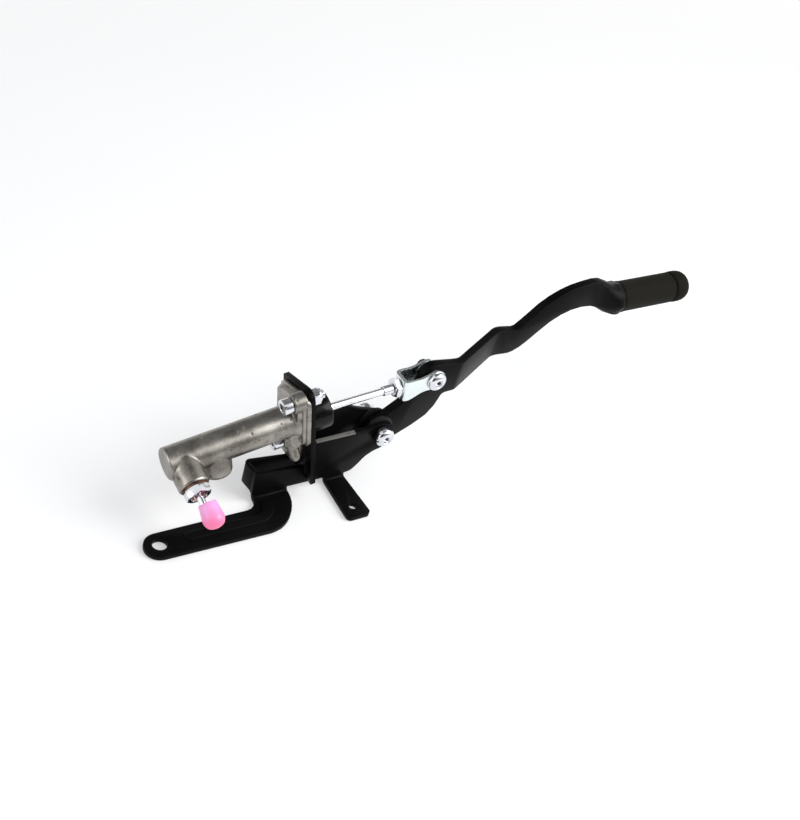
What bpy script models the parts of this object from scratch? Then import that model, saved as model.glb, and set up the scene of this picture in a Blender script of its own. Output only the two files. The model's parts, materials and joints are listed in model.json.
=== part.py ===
"""Hydraulic parking brake lever: floor bracket, master cylinder, pushrod, lever and grip.

Everything is drawn in millimetres with the lever's pivot axis at x = z = 0, running along Y.
X points to the grip, Z is up from the feet. The finished part is in metres and its origin lies
on the underside of the rear foot, so each mesh is shifted by PIVOT as it is made.
"""
import math

import bmesh
import bpy
from mathutils import Matrix, Vector
from mathutils.geometry import tessellate_polygon

# Driving dimensions, mm and degrees.
PIVOT = Vector((38.5, 30.0, 45.0))     # lever pivot, seen from the rear foot's mounting point
GAP = 0.3                              # clearance kept between separate pieces

SHEET = 4.0                            # bracket sheet thickness
CHEEK_OUT = 11.0                       # outer face of each cheek from the middle plane
FOOT_TOP = -41.0                       # upper face of both feet
BEND = 2.0                             # inner radius of the foot bends

CYL_PITCH = 10.4                       # cylinder axis above the feet's plane
CYL_ORIGIN = Vector((-79.6, 0.0, 30.6))  # where the cylinder axis meets the plate's front face
BARREL_R = 13.5
BARREL_END = -117.0                    # closed end, measured along the cylinder axis
BORE_R = 9.5
PILOT_R = 12.0                         # cylinder nose that locates in the plate
FLANGE_BOLT = (-7.7, 27.1)             # bolt from the middle of the bolt pattern, across and up
BOLT_DROP = 2.1                        # middle of the bolt pattern below the cylinder axis
FLANGE_T = 6.4
RIM_T = 3.6                            # lower step of the flange
SADDLE_T = 10.4                        # flange with the raised middle that joins the pads
PAD_T = 13.0                           # flange with its raised bolt pad
BOOT_R = 16.6

OUTLET_POS = -104.0                    # outlet boss along the cylinder axis
OUTLET_DIP = 18.0                      # outlet boss below the horizontal, towards the near side
OUTLET_R = 12.9
OUTLET_LEN = 25.8
LOWER_POS = -77.0                      # second boss along the cylinder axis
LOWER_DIP = 80.0
LOWER_R = 13.5
LOWER_LEN = 24.1
SPIGOT_POS = -12.3
SPIGOT_DIP = 62.0
SPIGOT_LEN = 35.6

WASHER_T = 1.0                         # copper washer between boss and fitting
HEX_ACROSS, HEX_T = 19.0, 7.0          # hexagon of the outlet fitting
PIPE_R = 2.9
PIPE_OUT = 14.0                        # free length of the pipe stub beyond the hexagon
CAP_DIP = 30.0                         # the loose cap hangs lower than the outlet
CAP_SHIFT = 2.8                        # and to one side of the stub
CAP_R = 7.3                            # mouth of the cap
CAP_LEN = 20.9
CAP_HOLE_R = 6.4

ROD_PITCH = 5.7
ROD_R, BALL_R = 3.3, 4.0
BALL = Vector((-84.0, 0.0, 29.8))      # pushrod ball inside the piston
CLEVIS_BASE = Vector((13.4, 0.0, 39.5))
PIN = Vector((44.0, 0.0, 46.5))        # clevis pin axis, parallel to the pivot
EAR_OUT = 9.0                          # outer face of each clevis ear
EAR_T = 2.2

LEVER_T = 8.0
LEVER_JOG = 28.0                       # sideways offset of the upper arm, away from the near side
GRIP_Z = 67.0
GRIP_R = 14.6
GRIP_START = 271.6
GRIP_END = 340.0

M10_R, M8_R = 5.0, 4.0
THREAD_R = 3.0                         # thread beyond the clevis pin's shoulder
HEAD_R = 1.75 * M10_R                  # button head of the two M10 screws
BUSH_WALL = 1.3
WASHER_PIVOT = 3.8                     # thick washer under the pivot bolt's head


def clear_scene():
    """Remove every object of the open file."""
    for item in list(bpy.data.objects):
        bpy.data.objects.remove(item, do_unlink=True)


def material(name, colour, rough, metal=0.0):
    """Return a Principled material with one colour."""
    mat = bpy.data.materials.new(name)
    mat.use_nodes = True
    shader = mat.node_tree.nodes["Principled BSDF"]
    shader.inputs["Base Color"].default_value = (*colour, 1.0)
    shader.inputs["Roughness"].default_value = rough
    shader.inputs["Metallic"].default_value = metal
    mat.diffuse_color = (*colour, 1.0)
    return mat


def finish(name, bm, mat, datum=(0.0, 0.0, 0.0)):
    """Turn a millimetre bmesh into an object whose origin is the datum point."""
    datum = Vector(datum)
    bmesh.ops.recalc_face_normals(bm, faces=bm.faces)
    bmesh.ops.translate(bm, verts=bm.verts, vec=-datum)
    bmesh.ops.scale(bm, verts=bm.verts, vec=(0.001, 0.001, 0.001))
    mesh = bpy.data.meshes.new(name)
    bm.to_mesh(mesh)
    bm.free()
    item = bpy.data.objects.new(name, mesh)
    item.location = (PIVOT + datum) * 0.001
    mesh.materials.append(mat)
    bpy.context.scene.collection.objects.link(item)
    return item


def bake(item):
    """Replace an object's mesh by what its modifiers make of it."""
    graph = bpy.context.evaluated_depsgraph_get()
    mesh = bpy.data.meshes.new_from_object(item.evaluated_get(graph))
    item.modifiers.clear()
    item.data = mesh


def combine(item, kind, others):
    """Apply one Boolean per cutter or added body, then remove the helpers."""
    for other in others:
        mod = item.modifiers.new(kind.title(), "BOOLEAN")
        mod.operation = kind
        mod.object = other
        mod.solver = "EXACT"
        bpy.context.view_layer.update()
        bake(item)
        bpy.data.objects.remove(other, do_unlink=True)


def circle(cx, cy, radius, count=32, start=0.0):
    """Points of a circle in a plane."""
    return [(cx + radius * math.cos(start + 2 * math.pi * k / count),
             cy + radius * math.sin(start + 2 * math.pi * k / count)) for k in range(count)]


def rounded(corners, steps=5):
    """Turn (x, y, radius) corners into an outline with filleted corners."""
    out = []
    total = len(corners)
    for k, (x, y, radius) in enumerate(corners):
        here = Vector((x, y))
        if radius <= 0:
            out.append((x, y))
            continue
        before = (Vector(corners[k - 1][:2]) - here).normalized()
        after = (Vector(corners[(k + 1) % total][:2]) - here).normalized()
        half = before.angle(after) / 2
        reach = radius / math.tan(half)
        start, end = here + before * reach, here + after * reach
        centre = here + (before + after).normalized() * (radius / math.sin(half))
        a0 = math.atan2(*(start - centre).yx)
        turn = math.atan2(*(end - centre).yx) - a0
        turn = (turn + math.pi) % (2 * math.pi) - math.pi
        for n in range(steps + 1):
            angle = a0 + turn * n / steps
            out.append((centre.x + radius * math.cos(angle), centre.y + radius * math.sin(angle)))
    return out


def smooth_path(points, steps=4):
    """Catmull-Rom curve through the points, ends included."""
    pts = [Vector(p) for p in points]
    pts = [pts[0] * 2 - pts[1]] + pts + [pts[-1] * 2 - pts[-2]]
    out = []
    for k in range(1, len(pts) - 2):
        p0, p1, p2, p3 = pts[k - 1:k + 3]
        for n in range(steps):
            t = n / steps
            out.append(tuple(0.5 * ((2 * p1) + (p2 - p0) * t + (2 * p0 - 5 * p1 + 4 * p2 - p3) * t ** 2
                                    + (3 * p1 - p0 - 3 * p2 + p3) * t ** 3)))
    out.append(tuple(pts[-2]))
    return out


def cyl_frame():
    """Matrix of the cylinder: x along its axis towards the plate, z up, origin on the plate."""
    turn = Matrix.Rotation(-math.radians(CYL_PITCH), 4, "Y")
    return Matrix.Translation(CYL_ORIGIN) @ turn


def rod_frame():
    """Matrix of the pushrod: x along the rod towards the clevis, origin at the clevis base."""
    turn = Matrix.Rotation(-math.radians(ROD_PITCH), 4, "Y")
    return Matrix.Translation(CLEVIS_BASE) @ turn


def along(frame, direction, start=(0.0, 0.0, 0.0)):
    """Matrix whose z axis follows a direction given in a frame, from a start point there."""
    turn = Vector(direction).to_track_quat("Z", "Y").to_matrix().to_4x4()
    return frame @ Matrix.Translation(start) @ turn


def slab(outline, depth, frame, holes=()):
    """Closed body: an outline in the frame's xy plane, extruded by depth along its z."""
    bm = bmesh.new()
    loops = [list(outline)] + [list(hole) for hole in holes]
    flat = [p for loop in loops for p in loop]
    low = [bm.verts.new((x, y, 0.0)) for x, y in flat]
    high = [bm.verts.new((x, y, depth)) for x, y in flat]
    if holes:
        for a, b, c in tessellate_polygon([[Vector((x, y, 0.0)) for x, y in loop] for loop in loops]):
            bm.faces.new((low[a], low[b], low[c]))
            bm.faces.new((high[a], high[b], high[c]))
    else:
        bm.faces.new(low[::-1])
        bm.faces.new(high)
    first = 0
    for loop in loops:
        size = len(loop)
        for k in range(size):
            a, b = first + k, first + (k + 1) % size
            bm.faces.new((low[a], low[b], high[b], high[a]))
        first += size
    bm.transform(frame)
    return bm


def side_frame(y):
    """Matrix that stands an outline of (x, z) pairs up at one y and extrudes it away from us."""
    return Matrix.Translation((0.0, y, 0.0)) @ Matrix(((1, 0, 0, 0), (0, 0, 1, 0), (0, 1, 0, 0),
                                                       (0, 0, 0, 1)))


def cyl_plate_frame(u):
    """Matrix for outlines given across (y) and above (z) the cylinder axis, at one station."""
    return cyl_frame() @ Matrix.Translation((u, 0.0, 0.0)) @ Matrix(
        ((0, 0, 1, 0), (1, 0, 0, 0), (0, 1, 0, 0), (0, 0, 0, 1)))


def stack(rings, frame, closed=False):
    """Closed body from rings of equal count; a single point is an apex."""
    bm = bmesh.new()
    made = [[bm.verts.new(p) for p in ring] for ring in rings]
    pairs = list(zip(made, made[1:] + made[:1])) if closed else list(zip(made, made[1:]))
    for one, two in pairs:
        size = max(len(one), len(two))
        for k in range(size):
            n = (k + 1) % size
            if len(one) == 1:
                bm.faces.new((one[0], two[k], two[n]))
            elif len(two) == 1:
                bm.faces.new((one[k], one[n], two[0]))
            else:
                bm.faces.new((one[k], one[n], two[n], two[k]))
    bm.transform(frame)
    return bm


def ring(radius, z, count=24):
    """One ring of a turned body; zero radius gives the apex."""
    if radius <= 0:
        return [(0.0, 0.0, z)]
    return [(x, y, z) for x, y in circle(0.0, 0.0, radius, count)]


def turned(profile, frame, count=24):
    """Body turned about the frame's z axis from (radius, z) pairs; open profiles start and end at 0."""
    return stack([ring(r, z, count) for r, z in profile], frame, closed=profile[0][0] > 0)


def cutter(profile, frame, count=32):
    """Turned body a little off the usual facets, so that no edge of a cut falls on an old edge."""
    return turned(profile, frame @ Matrix.Rotation(0.061, 4, "Z"), count)


def hex_ring(across, z, limit=0.0, up=1.0, count=24):
    """Hexagon sampled all round, pulled back in z where it stands beyond a limiting circle."""
    out = []
    for k in range(count):
        angle = 2 * math.pi * k / count
        sector = (angle + math.pi / 6) % (math.pi / 3) - math.pi / 6
        radius = across / 2 / math.cos(sector)
        drop = max(0.0, radius - limit) * 0.58 if limit else 0.0
        out.append((radius * math.cos(angle), radius * math.sin(angle), z - up * drop))
    return out


def nut(across, height, hole, frame, collar=0.0):
    """Hexagon nut with chamfered corners; a collar makes it a locking nut."""
    limit = across / 2 * 0.97
    body = height - collar
    rings = [ring(hole, 0.0, 24), ring(limit, 0.0, 24), hex_ring(across, 0.0, limit, -1.0),
             hex_ring(across, body, limit, 1.0), ring(limit, body, 24)]
    if collar:
        rings += [ring(across * 0.43, body + 0.01, 24), ring(across * 0.41, height - 0.8, 24),
                  ring(max(across * 0.36, hole + 0.6), height, 24)]
    rings.append(ring(hole, rings[-1][0][2], 24))
    return stack(rings, frame, closed=True)


def socket_screw(head_r, head_h, shank_r, length, key, frame, domed=False, step=None):
    """Screw along z: shank below 0 and a head above it with a hexagon socket.

    A step (depth, radius) makes a shoulder screw: beyond that depth the shank is thinner.
    """
    if domed:
        head = [(0.995, 0.0), (1.0, 0.10), (0.94, 0.42), (0.80, 0.74), (0.60, 0.95), (0.52, 1.0)]
    else:
        head = [(0.95, 0.0), (1.0, 0.06), (1.0, 0.92), (0.94, 1.0)]
    depth, thin = step or (length, shank_r)
    rings = [ring(0.0, -length, 24), ring(thin - 0.6, -length, 24), ring(thin, -length + 0.7, 24)]
    if step:
        rings += [ring(thin, -depth, 24), ring(shank_r, -depth, 24)]
    rings.append(ring(shank_r, 0.0, 24))
    rings += [ring(head_r * r, head_h * z, 24) for r, z in head]
    rings += [hex_ring(key, head_h), hex_ring(key, head_h * 0.45), ring(0.0, head_h * 0.30, 24)]
    return stack(rings, frame)


def washer(inner, outer, thick, frame, count=20):
    """Flat ring with lightly broken edges, from z = 0."""
    c = min(0.25, thick / 4)
    return turned([(inner, 0.0), (outer - c, 0.0), (outer, c), (outer, thick - c), (outer - c, thick),
                   (inner, thick)], frame, count)


def pin_frame(y, centre=(0.0, 0.0, 0.0), towards=1.0):
    """Matrix of a piece turned about a Y axis through a centre, starting at one y."""
    return along(Matrix.Translation((centre[0], y, centre[2])), (0.0, towards, 0.0))


def sheet_mesh(faces, strips):
    """Open surface from flat faces (outer loop, holes), and curved strips between their edges."""
    bm = bmesh.new()
    for outer, holes in faces:
        loops = [[Vector(p) for p in loop] for loop in [outer, *holes]]
        flat = [bm.verts.new(p) for loop in loops for p in loop]
        for a, b, c in tessellate_polygon(loops):
            bm.faces.new((flat[a], flat[b], flat[c]))
    for rows in strips:
        made = [[bm.verts.new(p) for p in row] for row in rows]
        for one, two in zip(made, made[1:]):
            for k in range(len(one) - 1):
                bm.faces.new((one[k], one[k + 1], two[k + 1], two[k]))
    bmesh.ops.remove_doubles(bm, verts=bm.verts, dist=0.002)
    return bm


def thicken(item, thickness, inward):
    """Give a surface its sheet thickness on one side."""
    mod = item.modifiers.new("Sheet", "SOLIDIFY")
    mod.thickness = thickness * 0.001
    mod.offset = -1.0 if inward else 1.0
    mod.use_even_offset = True
    mod.use_quality_normals = True
    bpy.context.view_layer.update()
    bake(item)


def plate_point(u, z):
    """Point of the cylinder's side view on one station u at a given height."""
    pitch = math.radians(CYL_PITCH)
    w = (z - CYL_ORIGIN.z - u * math.sin(pitch)) / math.cos(pitch)
    return (CYL_ORIGIN.x + u * math.cos(pitch) - w * math.sin(pitch), z)


# Bracket: two cheeks, the feet and the mounting plate.
TIP = smooth_path([(-28.0, 7.1), (-12.0, 8.5), (0.0, 9.6), (7.5, 8.2), (12.2, 2.8), (13.4, -4.5), (11.0, -12.0),
                   (5.0, -17.2), (-2.7, -19.6), (-10.2, -24.2), (-16.0, -31.2), (-21.5, -36.6),
                   (-28.0, -38.2)], 3)


def cheek_outline(rear_top, tip, front_top, slot_z=-31.6):
    """Side outline of a cheek from behind the plate, round the tip and along the bottom."""
    return [plate_point(SHEET + GAP, rear_top), *tip, (-28.0, FOOT_TOP + BEND), (-47.0, FOOT_TOP + BEND),
            (-47.0, -38.0), (-83.5, -37.6), (-83.5, FOOT_TOP + BEND), (-115.4, FOOT_TOP + BEND),
            (-117.2, -36.0), (-117.0, front_top), plate_point(-GAP, front_top - 5.0), plate_point(-GAP, slot_z),
            plate_point(SHEET + GAP, slot_z)]


def foot_bend(x0, x1, steps=4):
    """Quarter bend from the near cheek's outer face down to a foot's upper face."""
    rows = []
    for n in range(steps + 1):
        a = math.pi / 2 * n / steps
        y = -CHEEK_OUT - BEND + BEND * math.cos(a)
        z = FOOT_TOP + BEND - BEND * math.sin(a)
        rows.append([(x0, y, z), (x1, y, z)])
    return rows


def near_cheek(mat):
    """Cheek on the near side with the two folded feet and the pressed rib on the front one."""
    outline = cheek_outline(6.4, TIP, -14.0)
    cheek = [(x, -CHEEK_OUT, z) for x, z in outline]
    hole = [(x, -CHEEK_OUT, z) for x, z in circle(0.0, 0.0, M10_R + GAP)]
    root = -CHEEK_OUT - BEND
    rear = rounded([(-28.0, root, 0), (-27.5, -58.0, 4.0), (-50.0, -58.0, 4.0), (-47.0, root, 0)])
    front = [(-115.4, root), (-83.5, root)]
    front += smooth_path([(-83.8, -17.0), (-86.0, -25.0), (-91.0, -34.0), (-98.0, -41.5), (-107.0, -46.8),
                          (-117.0, -48.6)], 2)
    front += [(-208.0 + 12.6 * math.cos(a), -33.8 + 12.6 * math.sin(a))
              for a in [-math.pi / 2 - math.pi * n / 12 for n in range(13)]]
    front += [(-126.0, -22.2), (-121.5, -21.2), (-118.3, -18.6), (-116.0, -15.2)]
    faces = [(cheek, [hole]),
             ([(x, y, FOOT_TOP) for x, y in rear], [[(x, y, FOOT_TOP) for x, y in circle(-39.0, -46.0, 3.4)]]),
             ([(x, y, FOOT_TOP) for x, y in front],
              [[(x, y, FOOT_TOP) for x, y in circle(-207.6, -33.2, 6.0, 28)]])]
    strips = [foot_bend(-47.0, -28.0), foot_bend(-115.4, -83.5)]
    bm = sheet_mesh(faces, strips)
    item = finish("near_cheek", bm, mat)
    thicken(item, SHEET, inward=item.data.polygons[0].normal.y < 0)
    path = [(-182.0, -33.8), (-124.0, -34.6)]
    path += smooth_path([(-119.0, -34.3), (-112.5, -31.0), (-108.5, -26.0), (-107.0, -22.0)], 3)
    left, right = [], []
    for k, point in enumerate(path):
        ahead = Vector(path[min(k + 1, len(path) - 1)]) - Vector(path[max(k - 1, 0)])
        side = Vector((-ahead.y, ahead.x)).normalized() * 4.5
        left.append(tuple(Vector(point) + side))
        right.append(tuple(Vector(point) - side))
    start, end = Vector(path[0]), Vector(path[-1])
    a0 = math.atan2(*(Vector(left[0]) - start).yx)
    a1 = math.atan2(*(Vector(right[-1]) - end).yx)
    cap0 = [(start.x + 4.5 * math.cos(a0 + math.pi * n / 8), start.y + 4.5 * math.sin(a0 + math.pi * n / 8))
            for n in range(1, 8)]
    cap1 = [(end.x + 4.5 * math.cos(a1 + math.pi * n / 8), end.y + 4.5 * math.sin(a1 + math.pi * n / 8))
            for n in range(1, 8)]
    rib = finish("rib", slab(right + cap1 + left[::-1] + cap0, 3.0,
                             Matrix.Translation((0.0, 0.0, FOOT_TOP - 1.2))), mat)
    rib.modifiers.new("Edge", "BEVEL")
    rib.modifiers["Edge"].width = 0.0009
    rib.modifiers["Edge"].segments = 2
    rib.modifiers["Edge"].angle_limit = math.radians(60)
    bake(rib)
    combine(item, "UNION", [rib])
    return item


def far_cheek(mat):
    """Cheek on the far side with the return wall that closes the bracket's front."""
    tip = smooth_path([(-37.0, 24.6), (-27.0, 21.5), (-18.6, 17.4), (-10.5, 14.1), (0.0, 10.6), (7.8, 7.0),
                       (12.4, 1.6), (13.4, -5.5), (11.0, -12.0), (5.0, -17.2), (-2.7, -19.6), (-10.2, -24.2),
                       (-16.0, -31.2), (-21.5, -36.6), (-28.0, -38.2)], 3)
    outer_r = SHEET + 1.0
    behind = [plate_point(SHEET + GAP, -7.8), (-63.0, -7.2), (-59.4, -4.0), (-57.0, 8.0), (-55.2, 14.0),
              (-54.6, 22.0), (-53.2, 24.2), (-50.0, 25.2)]
    outline = [*behind, *tip, (-83.5, -37.6), (-112.0, -38.0), (-112.0, -17.5),
               plate_point(-GAP, -22.5), plate_point(-GAP, -31.6), plate_point(SHEET + GAP, -31.6)]
    cheek = [(x, CHEEK_OUT, z) for x, z in outline]
    hole = [(x, CHEEK_OUT, z) for x, z in circle(0.0, 0.0, M10_R + GAP)]
    rows = []
    for n in range(5):
        a = math.pi / 2 * n / 4
        x = -112.0 - outer_r * math.sin(a)
        y = CHEEK_OUT - outer_r + outer_r * math.cos(a)
        rows.append([(x, y, -38.0), (x, y, -17.5)])
    wall_x = -112.0 - outer_r
    wall = [(wall_x, CHEEK_OUT - outer_r, -38.0), (wall_x, CHEEK_OUT - outer_r, -17.5),
            (wall_x, -6.7, -15.2), (wall_x, -6.7, -36.0)]
    bm = sheet_mesh([(cheek, [hole]), (wall, [])], [rows])
    item = finish("far_cheek", bm, mat)
    thicken(item, SHEET, inward=item.data.polygons[0].normal.y > 0)
    return item


def bolt_spots():
    """Centres of the two flange bolts across and above the cylinder axis."""
    y, w = FLANGE_BOLT
    return [(y, w - BOLT_DROP), (-y, -w - BOLT_DROP)]


def mounting_plate(mat):
    """Plate across both cheeks that carries the master cylinder."""
    outline = rounded([(-15.4, 38.0, 8.0), (-22.3, -62.6, 2.0), (21.0, -62.6, 2.0), (21.0, -34.0, 4.0),
                       (29.0, -24.0, 6.0), (30.0, 22.0, 3.0)])
    holes = [circle(0.0, 0.0, PILOT_R + GAP, 36)] + [circle(y, w, M8_R + GAP, 24) for y, w in bolt_spots()]
    return finish("mounting_plate", slab(outline, SHEET, cyl_plate_frame(0.0), holes), mat)


# Master cylinder and what bolts it down.
def dipping(angle):
    """Unit vector in the cylinder's frame that points to the near side and dips by an angle."""
    dip = math.radians(angle)
    return Vector((0.0, -math.cos(dip), -math.sin(dip)))


def flange_outline(inset=0.0):
    """Outline of the flange across and above the axis, or of its upper step further in."""
    corners = [(-17.2, 33.8, 8.0), (-19.0, -17.8, 6.0), (-7.0, -22.5, 3.0), (-5.6, -46.0, 8.0), (18.6, -46.0, 9.0),
               (29.0, 18.4, 8.0)]
    return rounded([(y - math.copysign(inset, y), w - math.copysign(inset * 0.8, w), radius)
                    for y, w, radius in corners], 4)


def cylinder_body(mat):
    """Cast body: barrel, two bosses, stepped flange with pads and the inlet spigot, bored through."""
    frame = cyl_frame()
    axis = along(frame, (1.0, 0.0, 0.0))
    end, r = BARREL_END, BARREL_R
    barrel = [(0.0, end), (r - 0.9, end), (r, end + 0.9), (r, -20.0), (r + 0.2, -11.4), (r + 1.6, -8.0),
              (r + 2.9, -3.0), (PILOT_R, -2.2), (PILOT_R, 6.4), (PILOT_R - 0.6, 7.0), (0.0, 7.0)]
    item = finish("cylinder_body", turned(barrel, axis, 32), mat)
    adds = []
    boss = [(0.0, 2.0), (OUTLET_R, 2.0), (OUTLET_R, 9.0), (OUTLET_R - 0.3, OUTLET_LEN - 1.4),
            (OUTLET_R - 1.3, OUTLET_LEN), (0.0, OUTLET_LEN)]
    place = along(frame, dipping(OUTLET_DIP), (OUTLET_POS, 0.0, 0.0))
    adds.append(finish("boss_one", turned(boss, place, 28), mat))
    boss = [(0.0, 2.0), (LOWER_R, 2.0), (LOWER_R, LOWER_LEN - 3.6), (LOWER_R - 1.2, LOWER_LEN - 1.0),
            (LOWER_R - 3.6, LOWER_LEN), (0.0, LOWER_LEN)]
    below = along(frame, dipping(LOWER_DIP), (LOWER_POS, 0.0, 0.0))
    adds.append(finish("boss_two", turned(boss, below, 28), mat))
    adds.append(finish("rim", slab(flange_outline(), RIM_T, cyl_plate_frame(-GAP - RIM_T)), mat))
    adds.append(finish("step", slab(flange_outline(1.8), FLANGE_T - 1.0, cyl_plate_frame(-GAP - FLANGE_T)), mat))
    for k, (y, w) in enumerate(bolt_spots()):
        pad = [(0.0, -PAD_T - GAP), (7.4, -PAD_T - GAP), (8.0, -PAD_T + 0.4), (8.4, -2.0), (0.0, -2.0)]
        adds.append(finish(f"pad_{k}", turned(pad, along(frame, (1.0, 0.0, 0.0), (0.0, y, w)), 24), mat))
    saddle = rounded([(21.6, 19.8, 5.0), (-11.6, 32.2, 8.0), (-14.6, 14.0, 8.0), (-10.4, -2.0, 5.0),
                      (-4.4, -20.0, 5.0), (-4.4, -44.6, 8.0), (17.0, -44.6, 9.0), (21.0, -14.0, 6.0)], 4)
    adds.append(finish("saddle", slab(saddle, SADDLE_T - 1.4, cyl_plate_frame(-GAP - SADDLE_T)), mat))
    spigot = [(0.0, 4.0), (5.0, 4.0), (4.7, SPIGOT_LEN - 4.2), (3.6, SPIGOT_LEN - 1.2), (1.6, SPIGOT_LEN - 0.2),
              (0.0, SPIGOT_LEN)]
    aim = dipping(SPIGOT_DIP)
    adds.append(finish("spigot", turned(spigot, along(frame, aim, (SPIGOT_POS, 0.0, 0.0)), 18), mat))
    root = [(0.0, 4.0), (7.4, 4.0), (6.2, 20.0), (5.2, 23.0), (0.0, 23.4)]
    adds.append(finish("spigot_root", turned(root, along(frame, aim, (SPIGOT_POS + 2.0, -0.6, 0.0)), 20), mat))
    combine(item, "UNION", adds)
    bore = [(0.0, -110.0), (BORE_R - 1.0, -110.0), (BORE_R, -108.6), (BORE_R, 8.5), (0.0, 8.5)]
    cuts = [finish("bore", cutter(bore, axis, 28), mat)]
    for k, (y, w) in enumerate(bolt_spots()):
        hole = [(0.0, -16.0), (M8_R + GAP, -16.0), (M8_R + GAP, 3.0), (0.0, 3.0)]
        cuts.append(finish(f"hole_{k}", cutter(hole, along(frame, (1.0, 0.0, 0.0), (0.0, y, w)), 20), mat))
    port = [(0.0, 7.0), (1.6, 7.0), (1.6, OUTLET_LEN - 13.0), (5.0, OUTLET_LEN - 13.0), (5.0, OUTLET_LEN + 1.0),
            (0.0, OUTLET_LEN + 1.0)]
    cuts.append(finish("port", cutter(port, place, 20), mat))
    combine(item, "DIFFERENCE", cuts)
    return item


def flange_bolts(zinc):
    """Two socket screws from the cylinder's side with locking nuts behind the plate."""
    frame = cyl_frame()
    for name, (y, w) in zip(("upper", "lower"), bolt_spots()):
        seat = along(frame, (-1.0, 0.0, 0.0), (-PAD_T - 2 * GAP, y, w))
        finish(f"flange_screw_{name}", socket_screw(6.5, 8.0, M8_R, PAD_T + SHEET + 12.0, 6.0, seat), zinc)
        back = along(frame, (1.0, 0.0, 0.0), (SHEET + GAP, y, w))
        flat = Matrix.Rotation(math.atan2(-w, -y), 4, "Z")
        finish(f"flange_nut_{name}", nut(13.0, 8.0, M8_R + GAP, back @ flat, collar=2.0), zinc)


def outlet_parts(mats):
    """Copper washer, hexagon fitting, pipe stub and its push-on cap."""
    way = dipping(OUTLET_DIP)
    frame = along(cyl_frame(), way, (OUTLET_POS, 0.0, 0.0))
    at = OUTLET_LEN + GAP
    finish("outlet_washer", washer(5.0, 10.2, WASHER_T, frame @ Matrix.Translation((0, 0, at))), mats["copper"])
    at += WASHER_T + GAP
    limit, seat = HEX_ACROSS / 2 * 0.96, HEX_T - 2.8
    rings = [ring(2.0, -12.0), ring(4.1, -12.0), ring(4.7, -11.2), ring(4.7, 0.0), ring(limit, 0.0),
             hex_ring(HEX_ACROSS, 0.0, limit, -1.0), hex_ring(HEX_ACROSS, HEX_T, limit, 1.0), ring(limit, HEX_T),
             ring(6.5, HEX_T), ring(6.2, seat), ring(PIPE_R + GAP, seat), ring(PIPE_R + GAP, 1.0), ring(2.0, 0.6)]
    finish("outlet_fitting", stack(rings, frame @ Matrix.Translation((0, 0, at)), closed=True), mats["zinc"])
    tip = at + HEX_T + PIPE_OUT
    pipe = [(1.6, at + 1.6), (PIPE_R, at + 1.6), (PIPE_R, tip - 0.6), (PIPE_R - 0.4, tip), (1.6, tip)]
    finish("outlet_pipe", turned(pipe, frame, 20), mats["chrome"])
    mouth = Vector((OUTLET_POS + CAP_SHIFT, 0.0, 0.0)) + way * (tip - 7.0)
    hang = along(cyl_frame(), dipping(CAP_DIP), mouth)
    wide, length = CAP_R + 1.6, CAP_LEN
    cap = [(0.0, 8.4), (CAP_HOLE_R, 8.4), (CAP_HOLE_R, 0.0), (CAP_R - 0.3, 0.0), (CAP_R, 0.4),
           (wide - 0.5, length - 12.0), (wide, length - 8.4), (wide - 0.4, length - 5.6),
           (wide - 1.7, length - 3.1), (wide - 3.8, length - 1.3), (wide - 6.2, length - 0.3), (0.0, length)]
    finish("outlet_cap", turned(cap, hang, 24), mats["pink"], cyl_frame() @ mouth)


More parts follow.
